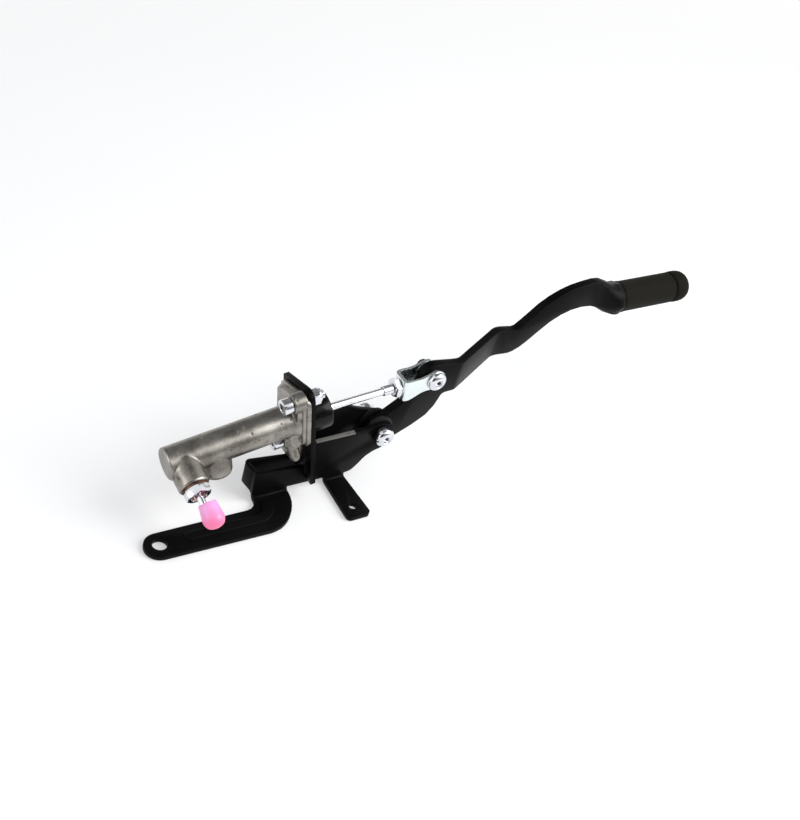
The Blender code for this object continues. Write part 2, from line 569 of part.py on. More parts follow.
def piston_parts(mats):
    """Piston with its cup, two seals, return spring, stop washer, circlip and dust boot."""
    frame = along(cyl_frame(), (1.0, 0.0, 0.0))
    ball = cyl_frame().inverted() @ BALL
    back = ball.x + 5.0
    cup = [(0.0, back - 46.0), (4.0, back - 46.0), (4.0, back - 42.6), (5.4, back - 42.6), (5.4, back - 36.4),
           (8.9, back - 36.4), (9.2, back - 36.0), (9.2, back - 32.0), (6.6, back - 32.0), (6.6, back - 11.0),
           (6.8, back - 10.4), (9.2, back - 10.4), (9.2, back - 0.3), (8.9, back), (6.5, back),
           (6.4, back - 8.4), (4.6, back - 10.2), (0.0, back - 10.2)]
    rings = [ring(r, z, 20) for r, z in cup]
    finish("piston", stack(rings, frame), mats["alloy"], cyl_frame() @ Vector((back, 0, 0)))
    seal = [(5.7, back - 42.2), (8.0, back - 42.2), (9.2, back - 41.6), (9.2, back - 38.0), (8.6, back - 36.7),
            (5.7, back - 36.7)]
    finish("pressure_seal", turned(seal, frame, 20), mats["rubber"], cyl_frame() @ Vector((back, 0, 0)))
    seal = [(6.9, back - 20.0), (9.2, back - 20.0), (9.2, back - 15.5), (8.6, back - 15.0), (6.9, back - 15.0)]
    finish("rear_seal", turned(seal, frame, 20), mats["rubber"], cyl_frame() @ Vector((back, 0, 0)))
    start, end, turns, wire, coil_r = -110.0 + GAP, back - 42.6 - GAP, 8, 0.8, 5.6
    rings = []
    count = turns * 10
    for k in range(count + 1):
        t = k / count
        angle = 2 * math.pi * turns * t
        rise = start + wire + (end - start - 2 * wire) * t
        radial = Vector((math.cos(angle), math.sin(angle), 0.0))
        centre = radial * coil_r + Vector((0.0, 0.0, rise))
        rings.append([tuple(centre + radial * wire * math.cos(a) + Vector((0, 0, wire * math.sin(a))))
                      for a in [math.pi / 2.5 * n for n in range(5)]])
    bm = stack(rings, frame)
    bmesh.ops.holes_fill(bm, edges=bm.edges)
    finish("return_spring", bm, mats["steel"], cyl_frame() @ Vector((start, 0, 0)))
    finish("piston_stop", washer(7.0, 9.2, 1.4, frame @ Matrix.Translation((0, 0, back + GAP))), mats["zinc"])
    clip_at = back + GAP + 1.4 + GAP
    finish("circlip", circlip_mesh(7.3, 9.2, 1.0, frame @ Matrix.Translation((0, 0, clip_at))), mats["steel"])
    inner, rim = PILOT_R + GAP, BOOT_R
    boot = [(inner, 4.6), (inner + 1.5, 4.6), (inner + 1.5, 12.9), (rim - 0.5, 12.9), (rim, 13.5),
            (rim, 20.4), (rim - 0.5, 21.6), (rim - 1.7, 22.2), (8.4, 22.2), (7.8, 21.6), (7.8, 20.2),
            (8.4, 19.6), (12.0, 19.0), (inner, 17.6)]
    finish("dust_boot", turned(boot, frame, 24), mats["rubber"])


def circlip_mesh(inner, outer, thick, frame, gap_deg=26.0, count=22):
    """Split ring: a flat arc with two open ends."""
    bm = bmesh.new()
    rows = []
    for k in range(count + 1):
        a = math.radians(gap_deg / 2 + (360.0 - gap_deg) * k / count - 90.0)
        rows.append([bm.verts.new((r * math.cos(a), r * math.sin(a), z))
                     for r, z in ((inner, 0), (outer, 0), (outer, thick), (inner, thick))])
    for one, two in zip(rows, rows[1:]):
        for k in range(4):
            n = (k + 1) % 4
            bm.faces.new((one[k], one[n], two[n], two[k]))
    bm.faces.new(rows[0])
    bm.faces.new(rows[-1][::-1])
    bm.transform(frame)
    return bm


# Pushrod, clevis and the pin that joins them to the lever.
def pushrod_parts(mats):
    """Ball-ended rod, its long adapter nut, a lock nut and the folded clevis."""
    frame = along(rod_frame(), (1.0, 0.0, 0.0))
    ball_at = (rod_frame().inverted() @ BALL).x
    rod = [(0.0, ball_at - BALL_R), (1.9, ball_at - 3.5), (3.3, ball_at - 2.3), (BALL_R, ball_at),
           (ROD_R, ball_at + 2.4), (ROD_R, 8.0), (2.8, 8.6), (0.0, 8.6)]
    finish("pushrod", turned(rod, frame, 24), mats["chrome"], PIN)
    inner = ROD_R + GAP
    rings = [ring(inner, -16.0, 24), ring(4.3, -16.0, 24), ring(4.8, -15.4, 24), ring(4.8, -6.8, 24),
             ring(4.3, -6.3, 24), ring(inner, -6.3, 24)]
    finish("rod_adapter", stack(rings, frame, closed=True), mats["zinc"], PIN)
    lock = frame @ Matrix.Translation((0, 0, -5.9))
    finish("lock_nut", nut(15.0, 5.0, inner, lock), mats["zinc"], PIN)
    clevis(mats["zinc"])


def clevis(mat):
    """U-shaped strap: a tall base square to the rod and two ears that run up to the pin."""
    frame = rod_frame()
    pin = frame.inverted() @ PIN
    out, inn = EAR_OUT, EAR_OUT - EAR_T
    base_h, eye_r = 10.2, 9.2
    stations = []
    for k in range(12, 0, -1):
        a = math.pi / 2 * k / 12
        x = pin.x + eye_r * math.sin(a) if k > 1 else pin.x
        half = eye_r * math.cos(a) if k > 1 else eye_r
        if k == 12:
            x, half = pin.x + eye_r * 0.996, 0.9
        stations.append((x, half, pin.z))
    for x, half, mid in ((pin.x - 4.0, 8.9, pin.z - 0.2), (pin.x - 9.0, 8.0, pin.z - 0.9),
                         (pin.x - 14.0, 7.9, pin.z - 1.9), (pin.x - 19.0, 8.9, pin.z - 3.1),
                         (pin.x - 23.6, 10.0, 0.2), (5.2, base_h, 0.0)):
        stations.append((x, half, mid))
    rows = []
    for x, half, mid in stations:
        rows.append([(x, -out, mid + half), (x, -out, mid - half), (x, -inn, mid - half), (x, -inn, mid + half)])
    for n in range(1, 5):
        a = math.pi / 2 * n / 4
        cx, cy, ro, ri = 4.2, -out + 4.2, 4.2, 1.2
        po = (cx - ro * math.sin(a), cy - ro * math.cos(a))
        pi_ = (cx - ri * math.sin(a), cy - ri * math.cos(a))
        rows.append([(po[0], po[1], base_h), (po[0], po[1], -base_h), (pi_[0], pi_[1], -base_h),
                     (pi_[0], pi_[1], base_h)])
    mirror = [[(x, -y, z) for x, y, z in row] for row in rows[::-1]]
    rings = rows + mirror
    bm = bmesh.new()
    made = [[bm.verts.new(p) for p in row] for row in rings]
    for one, two in zip(made, made[1:]):
        for k in range(4):
            n = (k + 1) % 4
            bm.faces.new((one[k], one[n], two[n], two[k]))
    bm.faces.new(made[0])
    bm.faces.new(made[-1][::-1])
    bm.transform(frame)
    item = finish("clevis", bm, mat, PIN)
    inner = ROD_R + GAP
    hole = [(0.0, -20.0), (M10_R + GAP, -20.0), (M10_R + GAP, 4.0), (THREAD_R + GAP, 4.0), (THREAD_R + GAP, 20.0),
            (0.0, 20.0)]
    cuts = [finish("pin_hole", cutter(hole, pin_frame(0.0, PIN), 28), mat)]
    hole = [(0.0, -3.0), (inner, -3.0), (inner, 6.0), (0.0, 6.0)]
    cuts.append(finish("rod_hole", cutter(hole, along(frame, (1.0, 0.0, 0.0)), 24), mat))
    combine(item, "DIFFERENCE", cuts)
    return item


def clevis_pin_parts(mats):
    """Button-head pin through the ears, spacers beside the lever and a locking nut behind."""
    head = pin_frame(-EAR_OUT - GAP, PIN, -1.0)
    inner = EAR_OUT - EAR_T
    step = EAR_OUT + inner
    finish("clevis_pin", socket_screw(HEAD_R, 5.4, M10_R, 2 * EAR_OUT + 7.6, 6.0, head, domed=True,
                                      step=(step, THREAD_R)), mats["zinc"], PIN)
    finish("clevis_nut", nut(10.4, 6.0, THREAD_R + GAP, pin_frame(EAR_OUT + GAP, PIN), collar=1.6),
           mats["dark_nut"], PIN)
    thick = inner - LEVER_T / 2 - 2 * GAP
    for name, y in (("near", -inner + GAP), ("far", LEVER_T / 2 + GAP)):
        finish(f"clevis_spacer_{name}", washer(M10_R + GAP, 8.2, thick, pin_frame(y, PIN)), mats["zinc"], PIN)


# Lever, pivot and grip.
def lever_sections():
    """Stations of the lever: upper point, lower point, sideways place, half width, corner radii."""
    u, v = Vector((0.848, 0.53)), Vector((-0.53, 0.848))
    rows = []
    for k in range(6):
        a = math.radians((12, 28, 45, 62, 78, 90)[k])
        at, half = 1.0 - 16.5 * math.cos(a), 16.5 * math.sin(a)
        rows.append((u * at + v * (-7.0 + half), u * at + v * (-7.0 - half)))
    rows += [(Vector(a), Vector(b)) for a, b in (
        ((6.2, 12.8), (22.9, -14.1)), ((17.2, 20.7), (37.7, -6.4)), ((25.6, 27.6), (50.0, 2.0)),
        ((30.0, 35.5), (56.6, 11.5)), ((31.7, 43.5), (59.4, 19.8)), ((32.2, 50.0), (60.6, 22.8)),
        ((34.6, 55.0), (62.0, 24.0)), ((39.4, 58.0), (64.2, 24.5)), ((46.0, 58.4), (66.6, 24.7)),
        ((56.0, 57.0), (69.0, 24.8)), ((64.0, 55.8), (70.6, 24.9)), ((71.0, 55.1), (71.6, 25.0)))]
    low = [(a, b, 0.0, LEVER_T / 2, 0.8, 0.8) for a, b in rows]
    jog = LEVER_JOG
    high = [((73.6, 55.0), (73.2, 25.0), 0.25), ((76.5, 54.9), (76.0, 25.1), 1.3),
            ((90.0, 54.9), (90.0, 25.6), 7.9), ((104.0, 55.1), (104.0, 26.2), 14.6),
            ((118.0, 55.3), (118.0, 27.0), 21.2), ((129.5, 55.5), (130.0, 27.8), jog - 1.3),
            ((133.5, 55.6), (134.0, 28.0), jog - 0.3), ((138.0, 55.4), (138.5, 28.0), jog),
            ((146.0, 54.2), (147.0, 27.4), jog), ((152.0, 53.1), (153.0, 27.1), jog),
            ((156.0, 53.9), (158.0, 28.4), jog), ((161.5, 58.9), (164.0, 31.2), jog),
            ((168.3, 65.3), (171.0, 36.4), jog), ((176.8, 73.8), (181.0, 45.6), jog),
            ((186.9, 80.8), (192.0, 54.9), jog), ((197.2, 86.0), (203.0, 61.2), jog),
            ((208.6, 89.7), (214.0, 64.9), jog), ((221.0, 91.8), (226.0, 66.3), jog),
            ((232.6, 93.1), (237.0, 65.4), jog)]
    mid = [(Vector(a), Vector(b), y, LEVER_T / 2, 0.8, 0.8) for a, b, y in high]
    end = [((241.0, 92.4), (244.0, 62.8), 4.6, 2.0, 2.0), ((249.0, 89.2), (251.0, 58.6), 7.0, 5.0, 8.0),
           ((256.0, 85.8), (257.5, 54.4), 10.6, 9.2, 12.6), ((262.0, 83.6), (263.0, 51.4), 14.4, 13.8, 15.6),
           ((266.4, 83.0), (266.8, 50.9), 16.0, 15.6, 15.8), ((270.7, 83.0), (270.7, 51.0), 16.0, 15.6, 15.7),
           ((271.3, 82.4), (271.3, 51.6), 15.4, 15.0, 15.1)]
    return low + mid + [(Vector(a), Vector(b), jog, h, ry, rz) for a, b, h, ry, rz in end]


def lever_arm(mat):
    """Flat bar that turns on the pivot, steps sideways and swells to a round end for the grip."""
    rows = []
    for top, bottom, y, half, ry, rz in lever_sections():
        centre, reach = (top + bottom) / 2, (top - bottom) / 2
        length = reach.length
        rz = min(rz, length * 0.985)
        way = reach / length
        row = []
        for k, (sy, sz) in enumerate(((1, 1), (-1, 1), (-1, -1), (1, -1))):
            for n in range(3):
                a = math.pi / 2 * (k + n / 2)
                py = sy * (half - ry) + ry * math.cos(a)
                pz = sz * (length - rz) + rz * math.sin(a)
                row.append((centre.x + way.x * pz, y + py, centre.y + way.y * pz))
        rows.append(row)
    bm = bmesh.new()
    made = [[bm.verts.new(p) for p in row] for row in rows]
    for one, two in zip(made, made[1:]):
        for k in range(12):
            n = (k + 1) % 12
            bm.faces.new((one[k], one[n], two[n], two[k]))
    bm.faces.new(made[0])
    bm.faces.new(made[-1][::-1])
    item = finish("lever_arm", bm, mat)
    bush_r = M10_R + BUSH_WALL + GAP
    hole = [(0.0, -10.0), (bush_r, -10.0), (bush_r, 10.0), (0.0, 10.0)]
    cuts = [finish("pivot_hole", cutter(hole, pin_frame(0.0), 28), mat)]
    hole = [(0.0, -10.0), (M10_R + GAP, -10.0), (M10_R + GAP, 10.0), (0.0, 10.0)]
    cuts.append(finish("pin_hole", cutter(hole, pin_frame(0.0, PIN), 28), mat))
    hole = [(0.0, -1.0), (7.3, -1.0), (7.3, 12.0), (6.3, 13.0), (0.0, 13.0)]
    start = along(Matrix.Translation((271.7, LEVER_JOG, GRIP_Z)), (-1.0, 0.0, 0.0))
    cuts.append(finish("grip_hole", cutter(hole, start, 28), mat))
    combine(item, "DIFFERENCE", cuts)
    return item


def pivot_parts(mats):
    """Pivot bolt, bush in the lever, two spacers, and the locking nut on the far cheek."""
    head_y = -CHEEK_OUT - 2 * GAP - WASHER_PIVOT
    finish("pivot_washer", washer(M10_R + GAP, HEAD_R - 0.4, WASHER_PIVOT, pin_frame(head_y + GAP)),
           mats["dark_nut"])
    finish("pivot_bolt", socket_screw(HEAD_R, 5.6, M10_R, CHEEK_OUT - head_y + 12.5, 6.0,
                                      pin_frame(head_y, towards=-1.0), domed=True), mats["zinc"])
    finish("pivot_nut", nut(3.4 * M10_R, 10.0, M10_R + GAP, pin_frame(CHEEK_OUT + GAP), collar=2.6),
           mats["zinc"])
    half, outer = LEVER_T / 2, M10_R + BUSH_WALL
    bush = [(M10_R + GAP, -half), (outer - 0.2, -half), (outer, 0.2 - half), (outer, half - 0.2),
            (outer - 0.2, half), (M10_R + GAP, half)]
    finish("pivot_bush", turned(bush, pin_frame(0.0), 20), mats["bronze"])
    inner = CHEEK_OUT - SHEET
    thick = inner - LEVER_T / 2 - 2 * GAP
    for name, y in (("near", -inner + GAP), ("far", LEVER_T / 2 + GAP)):
        finish(f"pivot_spacer_{name}", washer(M10_R + GAP, 13.6, thick, pin_frame(y), 28), mats["nylon"])


def grip_parts(mats):
    """Steel core in the lever's end, rubber sleeve and the larger rounded end piece."""
    frame = along(Matrix.Translation((0.0, LEVER_JOG, GRIP_Z)), (1.0, 0.0, 0.0))
    core = [(0.0, 259.4), (6.4, 259.4), (7.0, 260.0), (7.0, 350.4), (6.4, 351.0), (0.0, 351.0)]
    finish("grip_core", turned(core, frame, 20), mats["steel"])
    sleeve = [(7.3, GRIP_START), (14.2, GRIP_START), (15.0, GRIP_START + 0.8), (15.0, GRIP_START + 3.4),
              (GRIP_R, GRIP_START + 4.4), (GRIP_R, GRIP_END - 2.4), (13.9, GRIP_END - 0.6), (13.0, GRIP_END),
              (7.3, GRIP_END)]
    finish("grip_sleeve", turned(sleeve, frame, 26), mats["grip"])
    end = [(0.0, 351.3), (7.3, 351.3), (7.3, GRIP_END + GAP), (13.0, GRIP_END + GAP), (14.3, GRIP_END + 1.2),
           (14.9, GRIP_END + 3.2), (15.0, GRIP_END + 8.0), (14.7, GRIP_END + 12.4), (13.4, GRIP_END + 16.2),
           (11.0, GRIP_END + 18.6), (6.4, GRIP_END + 20.0), (0.0, GRIP_END + 20.4)]
    finish("grip_end", turned(end, frame, 26), mats["grip"])


def palette():
    """Materials by name, colours read from the photo."""
    return {
        "black": material("powder_coat_black", (0.011, 0.011, 0.012), 0.42),
        "cast": material("cast_aluminium", (0.42, 0.40, 0.37), 0.50, 1.0),
        "zinc": material("bright_zinc", (0.74, 0.76, 0.78), 0.26, 1.0),
        "chrome": material("polished_steel", (0.80, 0.81, 0.83), 0.12, 1.0),
        "steel": material("plain_steel", (0.40, 0.41, 0.42), 0.34, 1.0),
        "alloy": material("machined_alloy", (0.62, 0.62, 0.62), 0.32, 1.0),
        "copper": material("copper_washer", (0.72, 0.34, 0.19), 0.35, 1.0),
        "bronze": material("bronze_bush", (0.58, 0.40, 0.18), 0.38, 1.0),
        "dark_nut": material("dark_zinc", (0.10, 0.10, 0.11), 0.38, 1.0),
        "rubber": material("black_rubber", (0.014, 0.014, 0.015), 0.60),
        "nylon": material("black_nylon", (0.020, 0.021, 0.023), 0.50),
        "grip": material("grip_rubber", (0.022, 0.021, 0.018), 0.85),
        "pink": material("pink_cap", (0.93, 0.20, 0.44), 0.40),
    }


def build():
    """Make every piece in its place."""
    clear_scene()
    mats = palette()
    near_cheek(mats["black"])
    far_cheek(mats["black"])
    mounting_plate(mats["black"])
    cylinder_body(mats["cast"])
    flange_bolts(mats["zinc"])
    outlet_parts(mats)
    piston_parts(mats)
    pushrod_parts(mats)
    clevis_pin_parts(mats)
    lever_arm(mats["black"])
    pivot_parts(mats)
    grip_parts(mats)


build()
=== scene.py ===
"""Dressed scene of the hydraulic parking brake lever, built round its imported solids.

Lengths in the classes are millimetres in the lever's own frame: the pivot axis runs along Y through
x = z = 0, X points to the grip and Z is up. to_row turns them into the row's metres.
"""

import json
import logging
import math
from dataclasses import dataclass, field
from enum import Enum
from typing import Iterable, Protocol, Sequence

import bpy
from mathutils import Matrix, Vector


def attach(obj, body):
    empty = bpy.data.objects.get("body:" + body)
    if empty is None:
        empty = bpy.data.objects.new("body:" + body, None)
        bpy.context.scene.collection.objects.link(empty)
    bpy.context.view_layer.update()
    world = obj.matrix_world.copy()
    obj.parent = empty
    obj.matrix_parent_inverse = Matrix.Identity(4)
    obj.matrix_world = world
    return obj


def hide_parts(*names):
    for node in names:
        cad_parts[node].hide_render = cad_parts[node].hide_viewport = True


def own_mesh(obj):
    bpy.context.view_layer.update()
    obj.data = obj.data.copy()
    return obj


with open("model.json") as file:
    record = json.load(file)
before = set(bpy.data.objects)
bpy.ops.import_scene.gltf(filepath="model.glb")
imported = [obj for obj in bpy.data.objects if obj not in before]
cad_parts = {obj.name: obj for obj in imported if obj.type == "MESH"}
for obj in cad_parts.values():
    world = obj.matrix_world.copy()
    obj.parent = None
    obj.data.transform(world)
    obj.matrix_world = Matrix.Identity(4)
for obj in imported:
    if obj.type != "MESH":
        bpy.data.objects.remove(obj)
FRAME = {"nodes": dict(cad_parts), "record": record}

LOG = logging.getLogger("brake_lever")
Pair = tuple[float, float]
Triple = tuple[float, float, float]

MM = 0.001                              # a millimetre in the row's metres
METRE = 1000.0                          # a metre in millimetres
PIVOT = Vector((38.5, 30.0, 45.0))      # pivot axis seen from the rear foot's origin, mm
GAP = 0.3                               # clearance between separate pieces
MERGE = 1e-5                            # drawn points closer than this are one, m
MERGE_PACKED = 2e-6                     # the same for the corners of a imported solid, m
SPECK = 0.0004                          # side of the plane that a drawn line starts from, m
ALONG = 0.9                             # cosine above which two directions count as parallel
SHEET = 4.0                             # thickness of the bracket's sheet
CHEEK_OUT = 11.0                        # outer face of each cheek from the middle plane
LEVER_HALF = 4.0                        # half of the lever's thickness
CYL_PITCH = math.radians(10.4)          # rise of the cylinder towards the lever
CYL_ORIGIN = Vector((-79.6, 0.0, 30.6))     # its axis at the plate's front face
ROD_PITCH = math.radians(5.7)           # rise of the pushrod
CLEVIS_BASE = Vector((13.4, 0.0, 39.5))     # middle of the clevis's base on the rod's axis
BALL = Vector((-84.0, 0.0, 29.8))       # middle of the rod's ball end
PIN = Vector((44.0, 0.0, 46.5))         # middle of the clevis pin
GRIP_AXIS = Vector((0.0, 28.0, 67.0))   # a point of the grip's axis


class Body(Enum):
    """Moving bodies of the frame that a piece can ride on."""

    BRACKET = "bracket"
    LEVER = "lever"
    PUSHROD = "pushrod"
    CAP = "cap"


class Slot(Enum):
    """Material slots of the record."""

    BLACK = "powder_coat_black"
    CAST = "cast_aluminium"
    ZINC = "bright_zinc"
    POLISHED = "polished_steel"
    STEEL = "plain_steel"
    ALLOY = "machined_alloy"
    COPPER = "copper_washer"
    BRONZE = "bronze_bush"
    DARK = "dark_zinc"
    RUBBER = "black_rubber"
    NYLON = "black_nylon"
    GRIP = "grip_rubber"
    PINK = "pink_cap"


class Cut(Enum):
    """What a Boolean leaves of a body."""

    SHARED = "INTERSECT"
    REST = "DIFFERENCE"


def to_row(point: Sequence[float]) -> Vector:
    """Turn a point of the lever's frame, mm, into the row's metres."""
    return (Vector(point) + PIVOT) * MM


@dataclass(frozen=True)
class Axis:
    """A line that turned pieces are made round: a point in mm, a unit direction and a top side."""

    origin: Vector
    way: Vector
    top: Vector = field(default_factory=lambda: Vector((0.0, 0.0, 1.0)))

    def side(self) -> Vector:
        """Return a unit vector square to the axis and to its top side."""
        return self.way.cross(self.top).normalized()

    def at(self, radius: float, height: float) -> Vector:
        """Return the row point at a radius and a height, both in mm."""
        return to_row(self.origin + self.way * height + self.side() * radius)

    def moved(self, height: float) -> "Axis":
        """Return the same line with its zero further along."""
        return Axis(self.origin + self.way * height, self.way, self.top)

    def turn(self) -> Matrix:
        """Return the rotation that brings Z onto the axis and Y towards its top side."""
        side = self.side()
        return Matrix((-side, self.way.cross(-side), self.way)).transposed()


def cylinder_top() -> Vector:
    """Return the direction square to the cylinder's axis in the middle plane, upwards."""
    return Vector((-math.sin(CYL_PITCH), 0.0, math.cos(CYL_PITCH)))


def cylinder_way() -> Vector:
    """Return the direction of the cylinder's axis towards the lever."""
    return Vector((math.cos(CYL_PITCH), 0.0, math.sin(CYL_PITCH)))


def cylinder_point(along: float, across: float = 0.0, above: float = 0.0) -> Vector:
    """Return a point given along, across and above the cylinder's axis."""
    return CYL_ORIGIN + cylinder_way() * along + Vector((0.0, across, 0.0)) + cylinder_top() * above


def cylinder_axis(across: float = 0.0, above: float = 0.0, along: float = 0.0) -> Axis:
    """Return a line parallel to the cylinder's axis that points to the lever."""
    return Axis(cylinder_point(along, across, above), cylinder_way(), cylinder_top())


def dipping_axis(along: float, dip: float, across: float = 0.0) -> Axis:
    """Lay a line square to the cylinder that points to the near side and dips.

    Args:
        along: station on the cylinder's axis, mm.
        dip: how far the line dips, degrees.
        across: how far its zero stands off the middle plane, mm.

    Returns:
        The line.
    """
    a = math.radians(dip)
    way = Vector((0.0, -math.cos(a), 0.0)) - cylinder_top() * math.sin(a)
    return Axis(cylinder_point(along, across), way.normalized(), cylinder_top())


def rod_axis() -> Axis:
    """Return the pushrod's axis, zero at the clevis base."""
    return Axis(CLEVIS_BASE, Vector((math.cos(ROD_PITCH), 0.0, math.sin(ROD_PITCH))))


def cross_axis(y: float, centre: Sequence[float] = (0.0, 0.0, 0.0), away: bool = True) -> Axis:
    """Return a line along Y through a centre, pointing away from the near side or towards it."""
    return Axis(Vector((centre[0], y, centre[2])), Vector((0.0, 1.0 if away else -1.0, 0.0)))


def plug(radius: float, low: float, high: float) -> list[Pair]:
    """Return the profile of a plain solid cylinder between two heights."""
    return [(0.0, low), (radius, low), (radius, high), (0.0, high)]


def filleted(corners: Iterable[Triple], steps: int = 8) -> list[Pair]:
    """Round the corners of an outline.

    Args:
        corners: place and fillet radius of each corner, mm.
        steps: straight pieces to a fillet.

    Returns:
        The outline's points.
    """
    given = list(corners)
    made = []
    for k, (x, y, radius) in enumerate(given):
        here = Vector((x, y))
        before = (Vector(given[k - 1][:2]) - here).normalized()
        after = (Vector(given[(k + 1) % len(given)][:2]) - here).normalized()
        half = before.angle(after) / 2
        centre = here + (before + after).normalized() * (radius / math.sin(half))
        start = (here + before * (radius / math.tan(half)) - centre).normalized()
        end = (here + after * (radius / math.tan(half)) - centre).normalized()
        made += [tuple(centre + start.slerp(end, n / steps).normalized() * radius)
                 for n in range(steps + 1)]
    return made


# Shader graph.
class Signal:
    """A socket of a material's graph; arithmetic on it adds Math nodes."""

    def __init__(self, graph: "Graph", socket: bpy.types.NodeSocket) -> None:
        """Keep the graph and the output socket."""
        self.graph = graph
        self.socket = socket

    def _math(self, kind: str, first: object, second: object = 0.0) -> "Signal":
        """Add one Math node of two values."""
        made = self.graph.node("ShaderNodeMath", {"operation": kind}, {0: first, 1: second})
        return Signal(self.graph, made.outputs[0])

    def __add__(self, other: object) -> "Signal":
        """Return the sum."""
        return self._math("ADD", self, other)

    __radd__ = __add__

    def __sub__(self, other: object) -> "Signal":
        """Return the difference."""
        return self._math("SUBTRACT", self, other)

    def __rsub__(self, other: object) -> "Signal":
        """Return a value less this one."""
        return self._math("SUBTRACT", other, self)

    def __mul__(self, other: object) -> "Signal":
        """Return the product."""
        return self._math("MULTIPLY", self, other)

    __rmul__ = __mul__

    def above(self, level: float, soft: float) -> "Signal":
        """Step from 0 to 1 at a level.

        Args:
            level: the middle of the step.
            soft: half of the step's width.

        Returns:
            The stepped value.
        """
        made = self.graph.node("ShaderNodeMapRange", {"interpolation_type": "SMOOTHSTEP"},
                               {"Value": self, "From Min": level - soft, "From Max": level + soft})
        return Signal(self.graph, made.outputs["Result"])

    def span(self, low: float, high: float) -> "Signal":
        """Return the value stretched from 0..1 to low..high."""
        return self * (high - low) + low


class Graph:
    """Node graph of a material or of the world."""

    def __init__(self, owner: bpy.types.ID) -> None:
        """Switch the owner's nodes on.

        Args:
            owner: the material or world.
        """
        owner.use_nodes = True
        self.owner = owner
        self.tree = owner.node_tree
        self._place: bpy.types.NodeSocket | None = None

    @classmethod
    def material(cls, name: str) -> "Graph":
        """Return the graph of a new material with a single Principled shader."""
        return cls(bpy.data.materials.new(name))

    def node(self, kind: str, settings: dict, sockets: dict) -> bpy.types.Node:
        """Add a node.

        Args:
            kind: the node's type.
            settings: properties set before any socket.
            sockets: input name or number to a value, a Signal or an output socket.

        Returns:
            The new node.
        """
        made = self.tree.nodes.new(kind)
        for key, value in settings.items():
            setattr(made, key, value)
        for key, value in sockets.items():
            self.feed(made.inputs[key], value)
        return made

    def feed(self, target: bpy.types.NodeSocket, value: object) -> None:
        """Link a signal or socket to an input, or set its value.

        Args:
            target: the input.
            value: a Signal, an output socket or a plain value.
        """
        if isinstance(value, Signal):
            self.tree.links.new(value.socket, target)
        elif isinstance(value, bpy.types.NodeSocket):
            self.tree.links.new(value, target)
        else:
            target.default_value = value

    def place(self) -> bpy.types.NodeSocket:
        """Give the Object coordinates, from one node for the whole graph.

        Returns:
            The output socket.
        """
        if self._place is None:
            self._place = self.node("ShaderNodeTexCoord", {}, {}).outputs["Object"]
        return self._place

    def mapped(self, scale: Triple, turn: Triple = (0.0, 0.0, 0.0)) -> bpy.types.NodeSocket:
        """Return Object coordinates that are stretched and turned."""
        sockets = {"Vector": self.place(), "Rotation": turn, "Scale": scale}
        return self.node("ShaderNodeMapping", {"vector_type": "POINT"}, sockets).outputs["Vector"]

    def noise(self, scale: float, detail: float = 3.0, rough: float = 0.55,
              place: bpy.types.NodeSocket | None = None) -> Signal:
        """Return fractal noise, about 0.3 to 0.7."""
        sockets = {"Vector": place or self.place(), "Scale": scale, "Detail": detail, "Roughness": rough}
        return Signal(self, self.node("ShaderNodeTexNoise", {}, sockets).outputs["Fac"])

    def cells(self, scale: float, place: bpy.types.NodeSocket | None = None) -> Signal:
        """Return the distance to the nearest of scattered points."""
        made = self.node("ShaderNodeTexVoronoi", {}, {"Vector": place or self.place(), "Scale": scale})
        return Signal(self, made.outputs["Distance"])

    def along(self, axis: Axis) -> Signal:
        """Measure along an axis.

        Args:
            axis: the line, measured from its zero.

        Returns:
            The distance in mm.
        """
        shifted = self.node("ShaderNodeVectorMath", {"operation": "SUBTRACT"},
                            {0: self.place(), 1: tuple(to_row(axis.origin))})
        dot = self.node("ShaderNodeVectorMath", {"operation": "DOT_PRODUCT"},
                        {0: shifted.outputs["Vector"], 1: tuple(axis.way)})
        return Signal(self, dot.outputs["Value"]) * METRE

    def mix(self, factor: object, one: object, two: object) -> bpy.types.NodeSocket:
        """Return a colour between two colours."""
        made = self.node("ShaderNodeMix", {"data_type": "RGBA"}, {"Factor": factor, 6: one, 7: two})
        return made.outputs[2]

    def bump(self, height: Signal, strength: float, distance: float,
             normal: bpy.types.NodeSocket | None = None) -> bpy.types.NodeSocket:
        """Bend the normal by a height.

        Args:
            height: the height's signal.
            strength: share of the bend that is used.
            distance: how far a height of one stands out, mm.
            normal: a normal that is already bent.

        Returns:
            The bent normal.
        """
        sockets = {"Height": height, "Strength": strength, "Distance": distance * MM}
        if normal is not None:
            sockets["Normal"] = normal
        return self.node("ShaderNodeBump", {}, sockets).outputs["Normal"]

    def seen(self) -> Signal:
        """Tell which rays look at a surface or at the world.

        Returns:
            1 for camera, glossy and transmission rays and 0 for others.
        """
        path = self.node("ShaderNodeLightPath", {}, {})
        kinds = ("Is Camera Ray", "Is Glossy Ray", "Is Transmission Ray")
        camera, glossy, glass = (Signal(self, path.outputs[kind]) for kind in kinds)
        return camera + glossy + glass

    def dress(self, **sockets: object) -> bpy.types.Material:
        """Feed the shader.

        Args:
            sockets: value of each input, named with underscores for spaces.

        Returns:
            The material.
        """
        shader = self.tree.nodes["Principled BSDF"]
        for key, value in sockets.items():
            self.feed(shader.inputs[key.replace("_", " ")], value)
        return self.owner


def rgba(colour: Triple) -> tuple[float, float, float, float]:
    """Return a colour with full alpha."""
    return (*colour, 1.0)


class Finish(Protocol):
    """A finish that can make its material."""

    def build(self) -> bpy.types.Material:
        """Return the material."""


